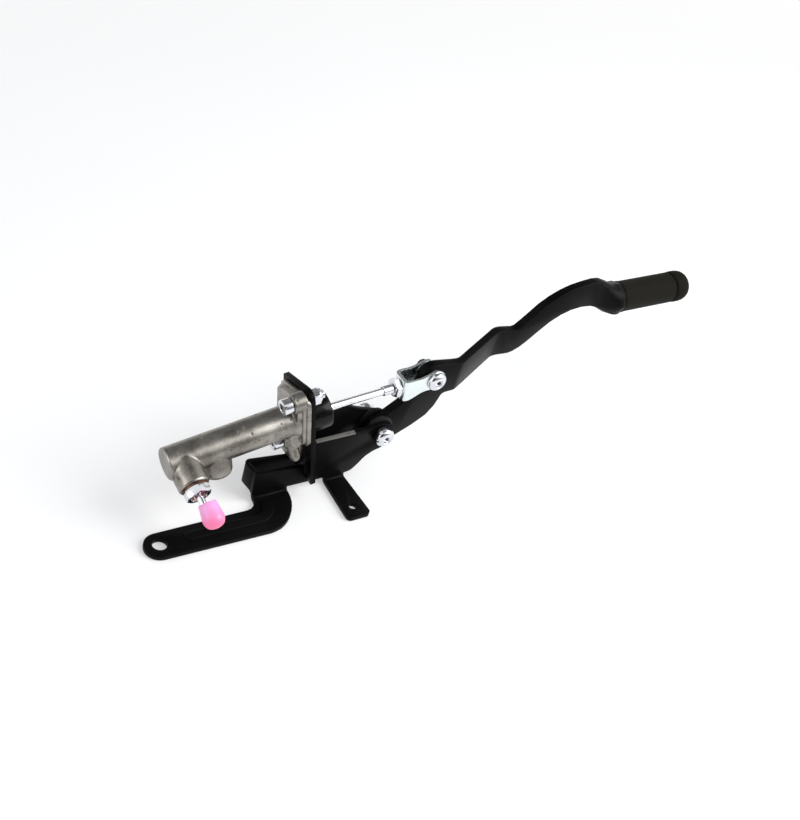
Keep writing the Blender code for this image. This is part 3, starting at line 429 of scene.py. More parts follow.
@dataclass(frozen=True)
class PowderCoat:
    """Satin powder coat: a fine skin of waves, slow changes of gloss and a painted highlight along one edge.
    """

    name: str
    colour: Triple = (0.0022, 0.0022, 0.0024)
    lighter: Triple = (0.0055, 0.0055, 0.0057)
    rough: Pair = (0.28, 0.42)
    gloss: float = 0.05
    # painted highlight: a light colour that stands in for light caught by the near cheek's top edge
    edge_highlight_colour: Triple = (0.150, 0.145, 0.135)
    # stretch of the painted highlight in the row, mm
    edge_from: Triple = (-26.5, 18.0, 51.0)
    edge_to: Triple = (11.5, 24.0, 52.6)
    edge_soft: float = 0.4

    def edge_highlight_mask(self, g: Graph) -> Signal:
        """Mark the stretch of the near cheek's upper edge that gets a painted highlight, broken up by noise.

        Args:
            g: the coat's graph.

        Returns:
            1 where the highlight is painted and 0 elsewhere.
        """
        parts = g.node("ShaderNodeSeparateXYZ", {}, {0: g.place()})
        share = g.noise(scale=160.0).above(level=0.36, soft=0.12)
        for name, low, high in zip("XYZ", self.edge_from, self.edge_to):
            place = Signal(g, parts.outputs[name]) * METRE
            share = share * place.above(low, self.edge_soft) * (1.0 - place.above(high, self.edge_soft))
        return share

    def build(self) -> bpy.types.Material:
        """Lay the coat with its orange peel and dust, and paint a highlight on the near cheek's top edge.

        Returns:
            The material.
        """
        g = Graph.material(self.name)
        slow = g.noise(scale=26.0)
        peel = g.noise(scale=620.0, detail=2.0, rough=0.45)
        dust = g.cells(scale=1500.0).above(level=0.16, soft=0.05)
        coat = g.mix((slow - 0.3) * 1.6, rgba(self.colour), rgba(self.lighter))
        # painted highlight: the coat turns lighter along the near cheek's top edge
        base = g.mix(self.edge_highlight_mask(g), coat, rgba(self.edge_highlight_colour))
        normal = g.bump(peel * 0.85 + dust * 0.15, strength=0.22, distance=0.12)
        return g.dress(Base_Color=base, Roughness=(slow * 0.6 + peel * 0.4).span(*self.rough),
                       Normal=normal, Specular_IOR_Level=self.gloss)


@dataclass(frozen=True)
class CastAluminium:
    """Bead-blasted casting: warm grey, mottled, with scattered dark pores."""

    name: str
    colour: Triple = (0.45, 0.43, 0.395)
    darker: Triple = (0.165, 0.150, 0.130)
    pore: Triple = (0.052, 0.046, 0.039)
    glint: Triple = (0.66, 0.64, 0.61)
    rough: Pair = (0.28, 0.46)
    pore_depth: float = 0.8

    def pores(self, g: Graph) -> Signal:
        """Scatter slanted pores over some patches.

        Args:
            g: the casting's graph.

        Returns:
            1 in a pore and 0 elsewhere.
        """
        slanted = g.mapped(scale=(1.0, 0.40, 1.0), turn=(0.3, 0.5, 0.7))
        pit = 1.0 - g.cells(scale=170.0, place=slanted).above(level=0.17, soft=0.08)
        patch = g.noise(scale=48.0, detail=2.0, rough=0.5).above(level=0.475, soft=0.05)
        return pit * patch

    def build(self) -> bpy.types.Material:
        """Mottle the metal and let its pores sink in.

        Returns:
            The material.
        """
        g = Graph.material(self.name)
        cloud = g.noise(scale=28.0, detail=6.0, rough=0.66)
        grain = g.noise(scale=1500.0, rough=0.6)
        pores = self.pores(g)
        dark = pores * self.pore_depth
        body = g.mix((cloud - 0.37) * 3.6, rgba(self.darker), rgba(self.colour))
        speck = g.mix((grain - 0.45) * 0.9, body, rgba(self.glint))
        fine = g.bump(grain, strength=0.20, distance=0.10)
        return g.dress(Base_Color=g.mix(dark, speck, rgba(self.pore)), Metallic=1.0 - dark,
                       Normal=g.bump(1.0 - pores, strength=0.55, distance=0.35, normal=fine),
                       Roughness=(cloud * 0.5 + grain * 0.5).span(*self.rough) + pores * 0.3)


@dataclass(frozen=True)
class Plating:
    """Plated or polished steel: bright metal with faint tints and rub marks."""

    name: str
    colour: Triple
    tint: Triple
    rough: Pair
    mark: float = 0.12

    def build(self) -> bpy.types.Material:
        """Cloud the tint and rub fine marks into the metal.

        Returns:
            The material.
        """
        g = Graph.material(self.name)
        cloud = g.noise(scale=90.0, detail=4.0, rough=0.6)
        rub = g.noise(scale=420.0, rough=0.6, place=g.mapped(scale=(1.0, 5.0, 1.0)))
        base = g.mix((cloud - 0.35) * 2.2, rgba(self.colour), rgba(self.tint))
        return g.dress(Base_Color=base, Metallic=1.0, Normal=g.bump(rub, self.mark, distance=0.05),
                       Roughness=(cloud * 0.5 + rub * 0.5).span(*self.rough))


@dataclass(frozen=True)
class Rubber:
    """Moulded rubber or nylon with a fine grain."""

    name: str
    colour: Triple
    lighter: Triple
    rough: Pair
    grain: float = 900.0
    depth: float = 0.35
    gloss: float = 0.35

    def build(self) -> bpy.types.Material:
        """Vary the tone slowly and add the grain.

        Returns:
            The material.
        """
        g = Graph.material(self.name)
        cloud = g.noise(scale=45.0)
        grain = g.noise(scale=self.grain, rough=0.6)
        base = g.mix((cloud - 0.3) * 1.4 + (grain - 0.5) * 0.6, rgba(self.colour), rgba(self.lighter))
        return g.dress(Base_Color=base, Roughness=cloud.span(*self.rough),
                       Normal=g.bump(grain, self.depth, distance=0.16), Specular_IOR_Level=self.gloss)


@dataclass(frozen=True)
class CapPlastic:
    """Soft pink plastic whose colour deepens from its mouth to its tip, painted shade on the cap's lower
    end.
    """

    name: str
    axis: Axis
    mouth: Triple = (0.95, 0.36, 0.70)
    # painted shade: the deeper colour at the cap's lower tip
    tip: Triple = (0.95, 0.14, 0.30)
    length: float = 21.0
    rough: Pair = (0.26, 0.46)

    def build(self) -> bpy.types.Material:
        """Deepen the colour along the cap as painted shade towards its lower tip and give it a soft skin.

        Returns:
            The material.
        """
        g = Graph.material(self.name)
        fade = g.along(self.axis) * (1.0 / self.length)
        skin = g.noise(scale=520.0)
        cloud = g.noise(scale=70.0)
        # painted shade: the share of the tip's colour grows along the cap towards its lower end
        share = fade.above(level=0.62, soft=0.5) + (cloud - 0.5) * 0.3
        return g.dress(Base_Color=g.mix(share, rgba(self.mouth), rgba(self.tip)),
                       Roughness=skin.span(*self.rough), Normal=g.bump(skin, strength=0.12, distance=0.08),
                       Coat_Weight=0.25, Subsurface_Weight=0.12)


# Modelling bench.
class Bench:
    """Draws and changes meshes with the modelling operators."""

    @staticmethod
    def only(item: bpy.types.Object) -> bpy.types.Object:
        """Select one object alone and make it active.

        Args:
            item: the object.

        Returns:
            The same object.
        """
        bpy.ops.object.select_all(action="DESELECT")
        item.select_set(True)
        bpy.context.view_layer.objects.active = item
        return item

    @staticmethod
    def clear() -> None:
        """Deselect everything."""
        bpy.ops.object.select_all(action="DESELECT")

    @classmethod
    def settle(cls, item: bpy.types.Object) -> bpy.types.Object:
        """Bring the object's origin to the row's origin, unturned and unscaled.

        Args:
            item: the object.

        Returns:
            The same object.
        """
        cls.only(item)
        bpy.ops.object.transform_apply(location=True, rotation=True, scale=True)
        return item

    @classmethod
    def drawn(cls, name: str, points: Sequence[Vector]) -> bpy.types.Object:
        """Draw a line point by point and stay in edit mode with all of it selected.

        Args:
            name: name of the piece.
            points: the line's points in the row.

        Returns:
            The line's object.
        """
        cls.clear()
        bpy.ops.mesh.primitive_plane_add(size=SPECK, location=points[0])
        item = bpy.context.active_object
        item.name = name
        cls.settle(item)
        bpy.ops.object.mode_set(mode="EDIT")
        bpy.ops.mesh.select_all(action="SELECT")
        bpy.ops.mesh.merge(type="CENTER")
        for here, there in zip(points, points[1:]):
            bpy.ops.mesh.extrude_region_move(TRANSFORM_OT_translate={"value": there - here})
        bpy.ops.mesh.select_all(action="SELECT")
        return item

    @classmethod
    def turned(cls, name: str, axis: Axis, profile: Sequence[Pair], steps: int = 64) -> bpy.types.Object:
        """Spin a drawn profile round an axis.

        Args:
            name: name of the piece.
            axis: the line to spin round.
            profile: (radius, height) pairs in mm; one that starts off the axis is closed to a ring.
            steps: facets round the axis.

        Returns:
            The closed body.
        """
        points = [axis.at(r, h) for r, h in profile]
        if profile[0][0] > 0.0:
            points.append(points[0])
        item = cls.drawn(name, points)
        bpy.ops.mesh.spin(steps=steps, angle=2 * math.pi, center=to_row(axis.origin), axis=axis.way)
        bpy.ops.mesh.select_all(action="SELECT")
        bpy.ops.mesh.remove_doubles(threshold=MERGE)
        bpy.ops.mesh.normals_make_consistent(inside=False)
        bpy.ops.object.mode_set(mode="OBJECT")
        return cls.smooth(item)

    @classmethod
    def slab(cls, name: str, outline: Sequence[Pair], low: float, high: float) -> bpy.types.Object:
        """Fill an outline square to the cylinder and extrude it.

        Args:
            name: name of the piece.
            outline: points across and above the cylinder's axis, mm.
            low: station of one side along the axis.
            high: station of the other side.

        Returns:
            The closed body.
        """
        points = [to_row(cylinder_point(low, y, w)) for y, w in outline]
        item = cls.drawn(name, [*points, points[0]])
        bpy.ops.mesh.remove_doubles(threshold=MERGE)
        bpy.ops.mesh.edge_face_add()
        step = cylinder_way() * (high - low) * MM
        bpy.ops.mesh.extrude_region_move(TRANSFORM_OT_translate={"value": step})
        bpy.ops.mesh.select_all(action="SELECT")
        bpy.ops.mesh.normals_make_consistent(inside=False)
        bpy.ops.object.mode_set(mode="OBJECT")
        return item

    @classmethod
    def hexagon(cls, name: str, axis: Axis, across: float, low: float, high: float,
                twist: float = 0.0) -> bpy.types.Object:
        """Add a hexagonal prism round an axis.

        Args:
            name: name of the piece.
            axis: its middle line.
            across: distance between opposite flats, mm.
            low: height of its lower end on the axis.
            high: height of its upper end.
            twist: turn round the axis, radians.

        Returns:
            The prism.
        """
        radius = across / 2 / math.cos(math.pi / 6)
        turn = axis.turn() @ Matrix.Rotation(twist, 3, "Z")
        cls.clear()
        bpy.ops.mesh.primitive_cylinder_add(vertices=6, radius=radius * MM, depth=(high - low) * MM,
                                            location=axis.at(0.0, (low + high) / 2),
                                            rotation=turn.to_euler())
        item = bpy.context.active_object
        item.name = name
        return cls.settle(item)

    @classmethod
    def carve(cls, item: bpy.types.Object, left: Cut, *others: bpy.types.Object) -> bpy.types.Object:
        """Apply Booleans of one kind with other bodies and remove those.

        Args:
            item: the body that is cut.
            left: what stays of it.
            others: the cutting bodies.

        Returns:
            The cut body.
        """
        for other in others:
            cls.only(item)
            mod = item.modifiers.new("Cut", "BOOLEAN")
            mod.operation = left.value
            mod.solver = "EXACT"
            mod.object = other
            bpy.ops.object.modifier_apply(modifier=mod.name)
            bpy.data.objects.remove(other, do_unlink=True)
        return item

    @classmethod
    def joined(cls, item: bpy.types.Object, *others: bpy.types.Object) -> bpy.types.Object:
        """Take other bodies into an object's mesh as they are.

        Args:
            item: the object that stays.
            others: the objects that it takes in.

        Returns:
            The object.
        """
        cls.clear()
        for other in others:
            other.select_set(True)
        item.select_set(True)
        bpy.context.view_layer.objects.active = item
        bpy.ops.object.join()
        return item

    @classmethod
    def rounded(cls, item: bpy.types.Object, width: float, segments: int = 2,
                angle: float = 32.0) -> bpy.types.Object:
        """Round every sharp edge.

        Args:
            item: the body.
            width: width of the rounding, mm.
            segments: strips to a rounding.
            angle: edges that turn by more than this are sharp, degrees.

        Returns:
            The body.
        """
        cls.only(item)
        mod = item.modifiers.new("Edges", "BEVEL")
        mod.width = width * MM
        mod.segments = segments
        mod.limit_method = "ANGLE"
        mod.angle_limit = math.radians(angle)
        bpy.ops.object.modifier_apply(modifier=mod.name)
        return item

    @classmethod
    def smooth(cls, item: bpy.types.Object, angle: float = 32.0) -> bpy.types.Object:
        """Shade smooth across shallow edges.

        Args:
            item: the body.
            angle: edges that turn by more than this stay sharp, degrees.

        Returns:
            The body.
        """
        cls.only(item)
        bpy.ops.object.shade_smooth_by_angle(angle=math.radians(angle))
        return item

    @classmethod
    def merged(cls, item: bpy.types.Object, closer: float, flat: float | None = None) -> bpy.types.Object:
        """Bring a new object into the scene and merge its loose triangles.

        Args:
            item: the object.
            closer: corners closer than this become one, m.
            flat: faces that turn by less than this are joined, degrees; None joins none.

        Returns:
            The object.
        """
        bpy.context.scene.collection.objects.link(item)
        cls.only(item)
        bpy.ops.object.mode_set(mode="EDIT")
        bpy.ops.mesh.select_all(action="SELECT")
        bpy.ops.mesh.remove_doubles(threshold=closer)
        if flat is not None:
            bpy.ops.mesh.dissolve_limited(angle_limit=math.radians(flat))
        bpy.ops.object.mode_set(mode="OBJECT")
        return item

    @classmethod
    def traced(cls, name: str, node: str, flat: float = 0.5) -> bpy.types.Object:
        """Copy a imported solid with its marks.

        Args:
            name: name of the piece.
            node: the solid's node.
            flat: faces that turn by less than this are joined, degrees.

        Returns:
            The copy.
        """
        item = FRAME["nodes"][node].copy()
        item.data = item.data.copy()
        item.name = name
        item.parent = None
        item.matrix_world = Matrix.Identity(4)
        return cls.merged(item, MERGE_PACKED, flat)


class Shelf:
    """Finished materials, built once each and handed out by slot."""

    def __init__(self, chosen: dict[Slot, Finish]) -> None:
        """Build every finish."""
        self.stock = {slot: finish.build() for slot, finish in chosen.items()}

    def dress(self, item: bpy.types.Object, slot: Slot) -> None:
        """Give an object one material."""
        item.data.materials.clear()
        item.data.materials.append(self.stock[slot])

    def dress_node(self, node: str, slot: Slot) -> None:
        """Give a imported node's object slots a material."""
        for place in FRAME["nodes"][node].material_slots:
            place.material = self.stock[slot]

    def hand_over(self, item: bpy.types.Object, body: Body, slot: Slot, *nodes: str) -> bpy.types.Object:
        """Dress a finished piece, let it ride and stand for its nodes.

        Args:
            item: the piece, its place in its mesh.
            body: the body that it rides on.
            slot: its material slot.
            nodes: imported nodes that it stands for.

        Returns:
            The piece.
        """
        Bench.settle(item)
        self.dress(item, slot)
        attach(item, body.value)
        if nodes:
            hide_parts(*nodes)
        LOG.info("%s stands for %s on %s", item.name, ", ".join(nodes) or "nothing", body.value)
        return item


# Hardware that several sub-assemblies use.
@dataclass(frozen=True)
class HexNut:
    """Hexagon nut with chamfered corners and an optional locking collar."""

    across: float
    height: float
    hole: float
    collar: float = 0.0
    lead: float = 0.5
    crown: float = 0.96
    slope: float = 0.52

    def make(self, name: str, axis: Axis, twist: float = 0.0) -> bpy.types.Object:
        """Turn the nut and cut its flats.

        Args:
            name: name of the piece.
            axis: its axis, zero at the face that it stands on.
            twist: turn of the flats, radians.

        Returns:
            The nut.
        """
        wide, hole, lead, top = self.across, self.hole, self.lead, self.height
        corner, flat = wide / math.sqrt(3.0), wide / 2 * self.crown
        body, drop = top - self.collar, (corner - flat) * self.slope
        profile = [(hole, lead), (hole + lead, 0.0), (flat, 0.0), (corner + 0.2, drop),
                   (corner + 0.2, body - drop), (flat, body)]
        if self.collar:
            profile += [(wide * 0.44, body), (wide * 0.44, top - 1.0), (wide * 0.42, top - 0.4),
                        (wide * 0.38, top)]
        profile += [(hole + lead, top), (hole, top - lead)]
        item = Bench.turned(name, axis, profile, 60)
        cut = Bench.hexagon(name + "_flats", axis, wide, -0.5, top + 0.5, twist=twist)
        return Bench.smooth(Bench.rounded(Bench.carve(item, Cut.SHARED, cut), 0.12, 1))


@dataclass(frozen=True)
class SocketScrew:
    """Screw with a hexagon socket; its head is a cylinder or a dome."""

    head_r: float
    head_h: float
    shank_r: float
    length: float
    thread_from: float
    key: float = 6.0
    domed: bool = False
    thread_r: float = 0.0
    pitch: float = 1.25
    groove: float = 0.32
    socket_floor: float = 0.42

    def shank(self) -> list[Pair]:
        """Run from the tip over the thread's grooves to the head.

        Returns:
            The shank's profile.
        """
        thin, start, pitch = self.thread_r or self.shank_r, self.thread_from, self.pitch
        points = [(0.0, -self.length), (thin - 0.8, -self.length), (thin, -self.length + 0.8)]
        height = -self.length + 1.4
        while height < -start - pitch:
            points += [(thin, height), (thin - self.groove, height + pitch * 0.35),
                       (thin - self.groove, height + pitch * 0.5), (thin, height + pitch * 0.85)]
            height += pitch
        if self.thread_r:
            points += [(thin, -start), (self.shank_r - 0.3, -start), (self.shank_r, -start + 0.3)]
        return [*points, (self.shank_r, 0.0)]

    def head(self) -> list[Pair]:
        """Run from the head's underside to its top.

        Returns:
            The head's profile, domed or with a broken edge.
        """
        r, h = self.head_r, self.head_h
        if not self.domed:
            return [(r - 0.3, 0.0), (r, 0.3), (r, h - 0.7), (r - 0.25, h - 0.2), (r - 0.7, h), (0.0, h)]
        arc = [(r * math.cos(a) ** 0.62, h * (0.20 + 0.80 * math.sin(a)))
               for a in map(math.radians, range(8, 72, 7))]
        return [(r * 0.985, 0.0), (r, 0.10 * h), (r * 0.995, 0.20 * h), *arc, (self.key * 0.62, h), (0.0, h)]

    def make(self, name: str, axis: Axis, twist: float = 0.3) -> bpy.types.Object:
        """Turn the screw and cut its hexagon socket.

        Args:
            name: name of the piece.
            axis: its axis, zero at the head's underside, pointing through the head.
            twist: turn of the socket, radians.

        Returns:
            The screw.
        """
        h, corner = self.head_h, self.key / math.sqrt(3.0)
        item = Bench.turned(name, axis, self.shank() + self.head(), 60)
        key = Bench.hexagon(name + "_key", axis, self.key, h * self.socket_floor, h + 1.0, twist=twist)
        lead = Bench.turned(name + "_lead", axis, [(0.0, h + 0.3), (corner + 0.65, h + 0.3),
                                                   (corner + 0.2, h - 0.25), (0.0, h - 1.4)], 48)
        return Bench.smooth(Bench.carve(item, Cut.REST, key, lead), 28.0)


@dataclass(frozen=True)
class FlutedSleeve:
    """Round sleeve with straight flutes along it and chamfered ends."""

    radius: float
    hole: float
    flutes: int = 24
    depth: float = 0.55
    chamfer: float = 0.5

    def make(self, name: str, axis: Axis, length: float) -> bpy.types.Object:
        """Draw a tube, press every second edge of it inwards, close and chamfer its ends and bore it.

        Args:
            name: name of the piece.
            axis: its axis, zero at its lower end.
            length: its length, mm.

        Returns:
            The sleeve.
        """
        sides, c = self.flutes * 2, self.chamfer
        Bench.clear()
        bpy.ops.mesh.primitive_cylinder_add(
            vertices=sides, radius=self.radius * MM, depth=(length - 2 * c) * MM,
            end_fill_type="NOTHING", location=axis.at(0.0, length / 2), rotation=axis.turn().to_euler())
        item = bpy.context.active_object
        item.name = name
        Bench.settle(item)
        for edge in item.data.edges:
            ends = [item.data.vertices[i].co for i in edge.vertices]
            arm = axis.turn().transposed() @ (ends[0] - axis.at(0.0, 0.0))
            along = abs((ends[1] - ends[0]).normalized().dot(axis.way)) > ALONG
            edge.select = along and round(math.atan2(arm.y, arm.x) * sides / (2 * math.pi)) % 2 == 0
        bpy.ops.object.mode_set(mode="EDIT")
        bpy.ops.mesh.select_mode(type="EDGE")
        bpy.ops.transform.shrink_fatten(value=-self.depth * MM)
        bpy.ops.mesh.select_all(action="DESELECT")
        bpy.ops.mesh.select_non_manifold()
        bpy.ops.mesh.edge_face_add()
        bpy.ops.mesh.select_mode(type="FACE")
        bpy.ops.object.mode_set(mode="OBJECT")
        for face in item.data.polygons:
            face.select = abs(face.normal.dot(axis.way)) > ALONG
        bpy.ops.object.mode_set(mode="EDIT")
        bpy.ops.mesh.normals_make_consistent(inside=False)
        bpy.ops.mesh.inset(thickness=c * MM, depth=c * MM)
        bpy.ops.mesh.select_mode(type="VERT")
        bpy.ops.mesh.select_all(action="SELECT")
        bpy.ops.mesh.normals_make_consistent(inside=False)
        bpy.ops.object.mode_set(mode="OBJECT")
        bore = Bench.turned(name + "_bore", axis, plug(self.hole, -1.0, length + 1.0), 48)
        return Bench.smooth(Bench.carve(item, Cut.REST, bore), 20.0)


def flat_ring(name: str, axis: Axis, hole: float, radius: float, thick: float) -> bpy.types.Object:
    """Turn a washer or spacer with softly broken edges.

    Args:
        name: name of the piece.
        axis: its axis, zero at the face that it stands on.
        hole: radius of its hole, mm.
        radius: its own radius.
        thick: its thickness.

    Returns:
        The ring.
    """
    edge = 0.3
    mid = edge * 0.3
    return Bench.turned(name, axis, [
        (hole, 0.0), (radius - edge, 0.0), (radius - mid, mid), (radius, edge), (radius, thick - edge),
        (radius - mid, thick - mid), (radius - edge, thick), (hole, thick)])


# Sub-assemblies.
@dataclass
class Bracket:
    """Two cheeks with feet and the cross plate, folded and welded from sheet."""

    edge: float = 0.45

    def build(self, shelf: Shelf) -> None:
        """Make the three sheet pieces.

        Args:
            shelf: the finished materials.
        """
        for node in ("near_cheek", "far_cheek", "mounting_plate"):
            item = Bench.traced(node + "_sheet", node)
            Bench.smooth(Bench.rounded(item, self.edge, 2, 40.0), 38.0)
            shelf.hand_over(item, Body.BRACKET, Slot.BLACK, node)


@dataclass
class MasterCylinder:
    """Cast body, its two flange screws and their locking nuts."""

    barrel_r: float = 13.5
    closed_end: float = -117.0
    bore_r: float = 9.5
    nose_r: float = 12.0
    outlet_at: float = -104.0
    outlet_dip: float = 18.0
    outlet_len: float = 25.8
    lower_at: float = -77.0
    lower_dip: float = 80.0
    spigot_at: float = -12.3
    spigot_dip: float = 62.0
    rim_t: float = 3.6
    flange_t: float = 6.4
    saddle_t: float = 10.4
    pad_t: float = 13.0
    bolts: tuple[Pair, Pair] = ((-7.7, 25.0), (7.7, -29.2))
    screw_r: float = 4.0
    voxel: float = 0.62
    stock: float = 0.5
    step_inset: float = 1.8
    corners: tuple[Triple, ...] = (
        (-17.2, 33.8, 8.0), (-19.0, -17.8, 6.0), (-7.0, -22.5, 3.0), (-5.6, -46.0, 8.0),
        (18.6, -46.0, 9.0), (29.0, 18.4, 8.0))
    saddle: tuple[Triple, ...] = (
        (21.6, 19.8, 5.0), (-11.6, 32.2, 8.0), (-14.6, 14.0, 8.0), (-10.4, -2.0, 5.0),
        (-4.4, -20.0, 5.0), (-4.4, -44.6, 8.0), (17.0, -44.6, 9.0), (21.0, -14.0, 6.0))

    def outlet(self) -> Axis:
        """Return the outlet boss's axis."""
        return dipping_axis(self.outlet_at, self.outlet_dip)

    def flange(self) -> list[bpy.types.Object]:
        """Extrude the flange: its rim, its upper step and the saddle that joins the bolt pads.

        Returns:
            The three bodies.
        """
        inset = self.step_inset
        upper = [(y - math.copysign(inset, y), w - math.copysign(inset * 0.8, w), r)
                 for y, w, r in self.corners]
        rim = Bench.slab("flange_rim", filleted(self.corners), self.stock, -self.rim_t - GAP)
        step = Bench.slab("flange_step", filleted(upper), -1.0, -self.flange_t - GAP)
        ridge = Bench.slab("flange_saddle", filleted(self.saddle), -1.5, -self.saddle_t - GAP)
        return [Bench.rounded(rim, 0.9, 2, 50.0), Bench.rounded(step, 1.2, 3, 50.0),
                Bench.rounded(ridge, 1.5, 3, 50.0)]

    def bosses(self) -> list[bpy.types.Object]:
        """Turn both bosses, the bolt pads and the inlet's root and spout.

        Returns:
            The bodies that stand out of the barrel.
        """
        top, pad_top = self.outlet_len + self.stock, -self.pad_t - GAP - self.stock
        outlet = Bench.turned("boss_outlet", self.outlet(), [
            (0.0, 2.0), (12.9, 2.0), (12.9, 9.0), (12.6, top), (0.0, top)], 80)
        lower = Bench.turned("boss_lower", dipping_axis(self.lower_at, self.lower_dip), [
            (0.0, 2.0), (13.5, 2.0), (13.5, 20.5), (13.0, 22.2), (12.1, 23.2), (10.6, 23.9), (9.4, 24.1),
            (0.0, 24.1)], 72)
        pads = [Bench.turned("bolt_pad", cylinder_axis(y, w), [
            (0.0, pad_top), (7.6, pad_top), (8.0, -self.pad_t + 0.4), (8.4, -2.0), (0.0, -2.0)], 56)
            for y, w in self.bolts]
        root = Bench.turned("inlet_root", dipping_axis(self.spigot_at + 2.0, self.spigot_dip, -0.6), [
            (0.0, 4.0), (7.4, 4.0), (6.2, 20.0), (5.2, 23.0), (0.0, 23.4)], 48)
        spout = Bench.turned("inlet_spout", dipping_axis(self.spigot_at, self.spigot_dip), [
            (0.0, 4.0), (5.0, 4.0), (4.7, 31.4), (3.9, 34.0), (2.4, 35.2), (0.0, 35.6)], 48)
        return [outlet, lower, *pads, root, spout]

    def rough_casting(self) -> bpy.types.Object:
        """Blend all bodies into the casting, with stock on the faces that are machined later.

        Returns:
            The body as it leaves the mould.
        """
        end, r, spare, nose = self.closed_end, self.barrel_r, self.stock, self.nose_r
        item = Bench.turned("cylinder_casting", cylinder_axis(), [
            (0.0, end - spare), (r, end - spare), (r, -20.0), (r + 0.2, -11.4), (r + 1.6, -8.0),
            (r + 2.9, -3.0), (nose + spare, -2.2), (nose + spare, 7.0 + spare), (0.0, 7.0 + spare)], 96)
        Bench.joined(item, *self.bosses(), *self.flange())
        item.data.remesh_voxel_size = self.voxel * MM
        item.data.use_remesh_fix_poles = False
        bpy.ops.object.voxel_remesh()
        mod = item.modifiers.new("Blend", "SMOOTH")
        mod.factor = 0.5
        mod.iterations = 6
        bpy.ops.object.modifier_apply(modifier=mod.name)
        return item

    def faces(self) -> bpy.types.Object:
        """Turn what the machining takes off the faces and out of the bore.

        Returns:
            One body to cut away.
        """
        axis, end, r, bore = cylinder_axis(), self.closed_end, self.barrel_r, self.bore_r
        top, nose, far, pad_top = self.outlet_len, self.nose_r, 70.0, -self.pad_t - GAP
        item = Bench.turned("cut_faces", axis, [
            (0.0, -110.0), (bore - 1.0, -110.0), (bore, -108.6), (bore, 9.0), (0.0, 9.0)], 72)
        closed = Bench.turned("cut_end", axis, [
            (0.0, end), (r - 0.9, end), (r + 0.6, end + 1.5), (r + 2.0, end + 1.5), (r + 2.0, end - 3.0),
            (0.0, end - 3.0)], 96)
        back = Bench.turned("cut_back", axis, [
            (nose, -GAP), (far, -GAP), (far, 9.0), (nose - 0.6, 9.0), (nose - 0.6, 7.0), (nose, 6.4)], 96)
        boss = Bench.turned("cut_boss", self.outlet(), [
            (0.0, top), (11.6, top), (13.0, top - 1.6), (15.0, top - 1.6), (15.0, top + 3.0),
            (0.0, top + 3.0)], 80)
        pads = [Bench.turned("cut_pad", cylinder_axis(y, w), plug(8.8, pad_top - 3.0, pad_top), 56)
                for y, w in self.bolts]
        return Bench.joined(item, closed, back, boss, *pads)

    def holes(self) -> bpy.types.Object:
        """Turn the outlet's port and the two screw holes.

        Returns:
            One body to cut away.
        """
        top = self.outlet_len
        port = Bench.turned("cut_port", self.outlet(), [
            (0.0, 7.0), (1.6, 7.0), (1.6, top - 13.0), (5.0, top - 13.0), (5.0, top + 1.0),
            (0.0, top + 1.0)], 40)
        bolts = [Bench.turned("cut_hole", cylinder_axis(y, w), plug(self.screw_r + GAP, -17.0, 3.0), 40)
                 for y, w in self.bolts]
        return Bench.joined(port, *bolts)

    def build(self, shelf: Shelf) -> None:
        """Make the casting and its fasteners.

        Args:
            shelf: the finished materials.
        """
        body = Bench.carve(self.rough_casting(), Cut.REST, self.faces(), self.holes())
        shelf.hand_over(Bench.smooth(body, 48.0), Body.BRACKET, Slot.CAST, "cylinder_body")
        screw = SocketScrew(6.5, 8.0, self.screw_r, self.pad_t + SHEET + 12.0, thread_from=17.0)
        nut = HexNut(13.0, 8.0, self.screw_r + GAP, 2.0)
        for name, (y, w) in zip(("upper", "lower"), self.bolts):
            line = cylinder_axis(y, w, -self.pad_t - 2 * GAP)
            seat = Axis(line.origin, -line.way, line.top)
            shelf.hand_over(screw.make("socket_screw_" + name, seat), Body.BRACKET, Slot.ZINC,
                            "flange_screw_" + name)
            back = cylinder_axis(y, w, SHEET + GAP)
            shelf.hand_over(nut.make("locking_nut_" + name, back, math.atan2(-w, -y)), Body.BRACKET,
                            Slot.ZINC, "flange_nut_" + name)


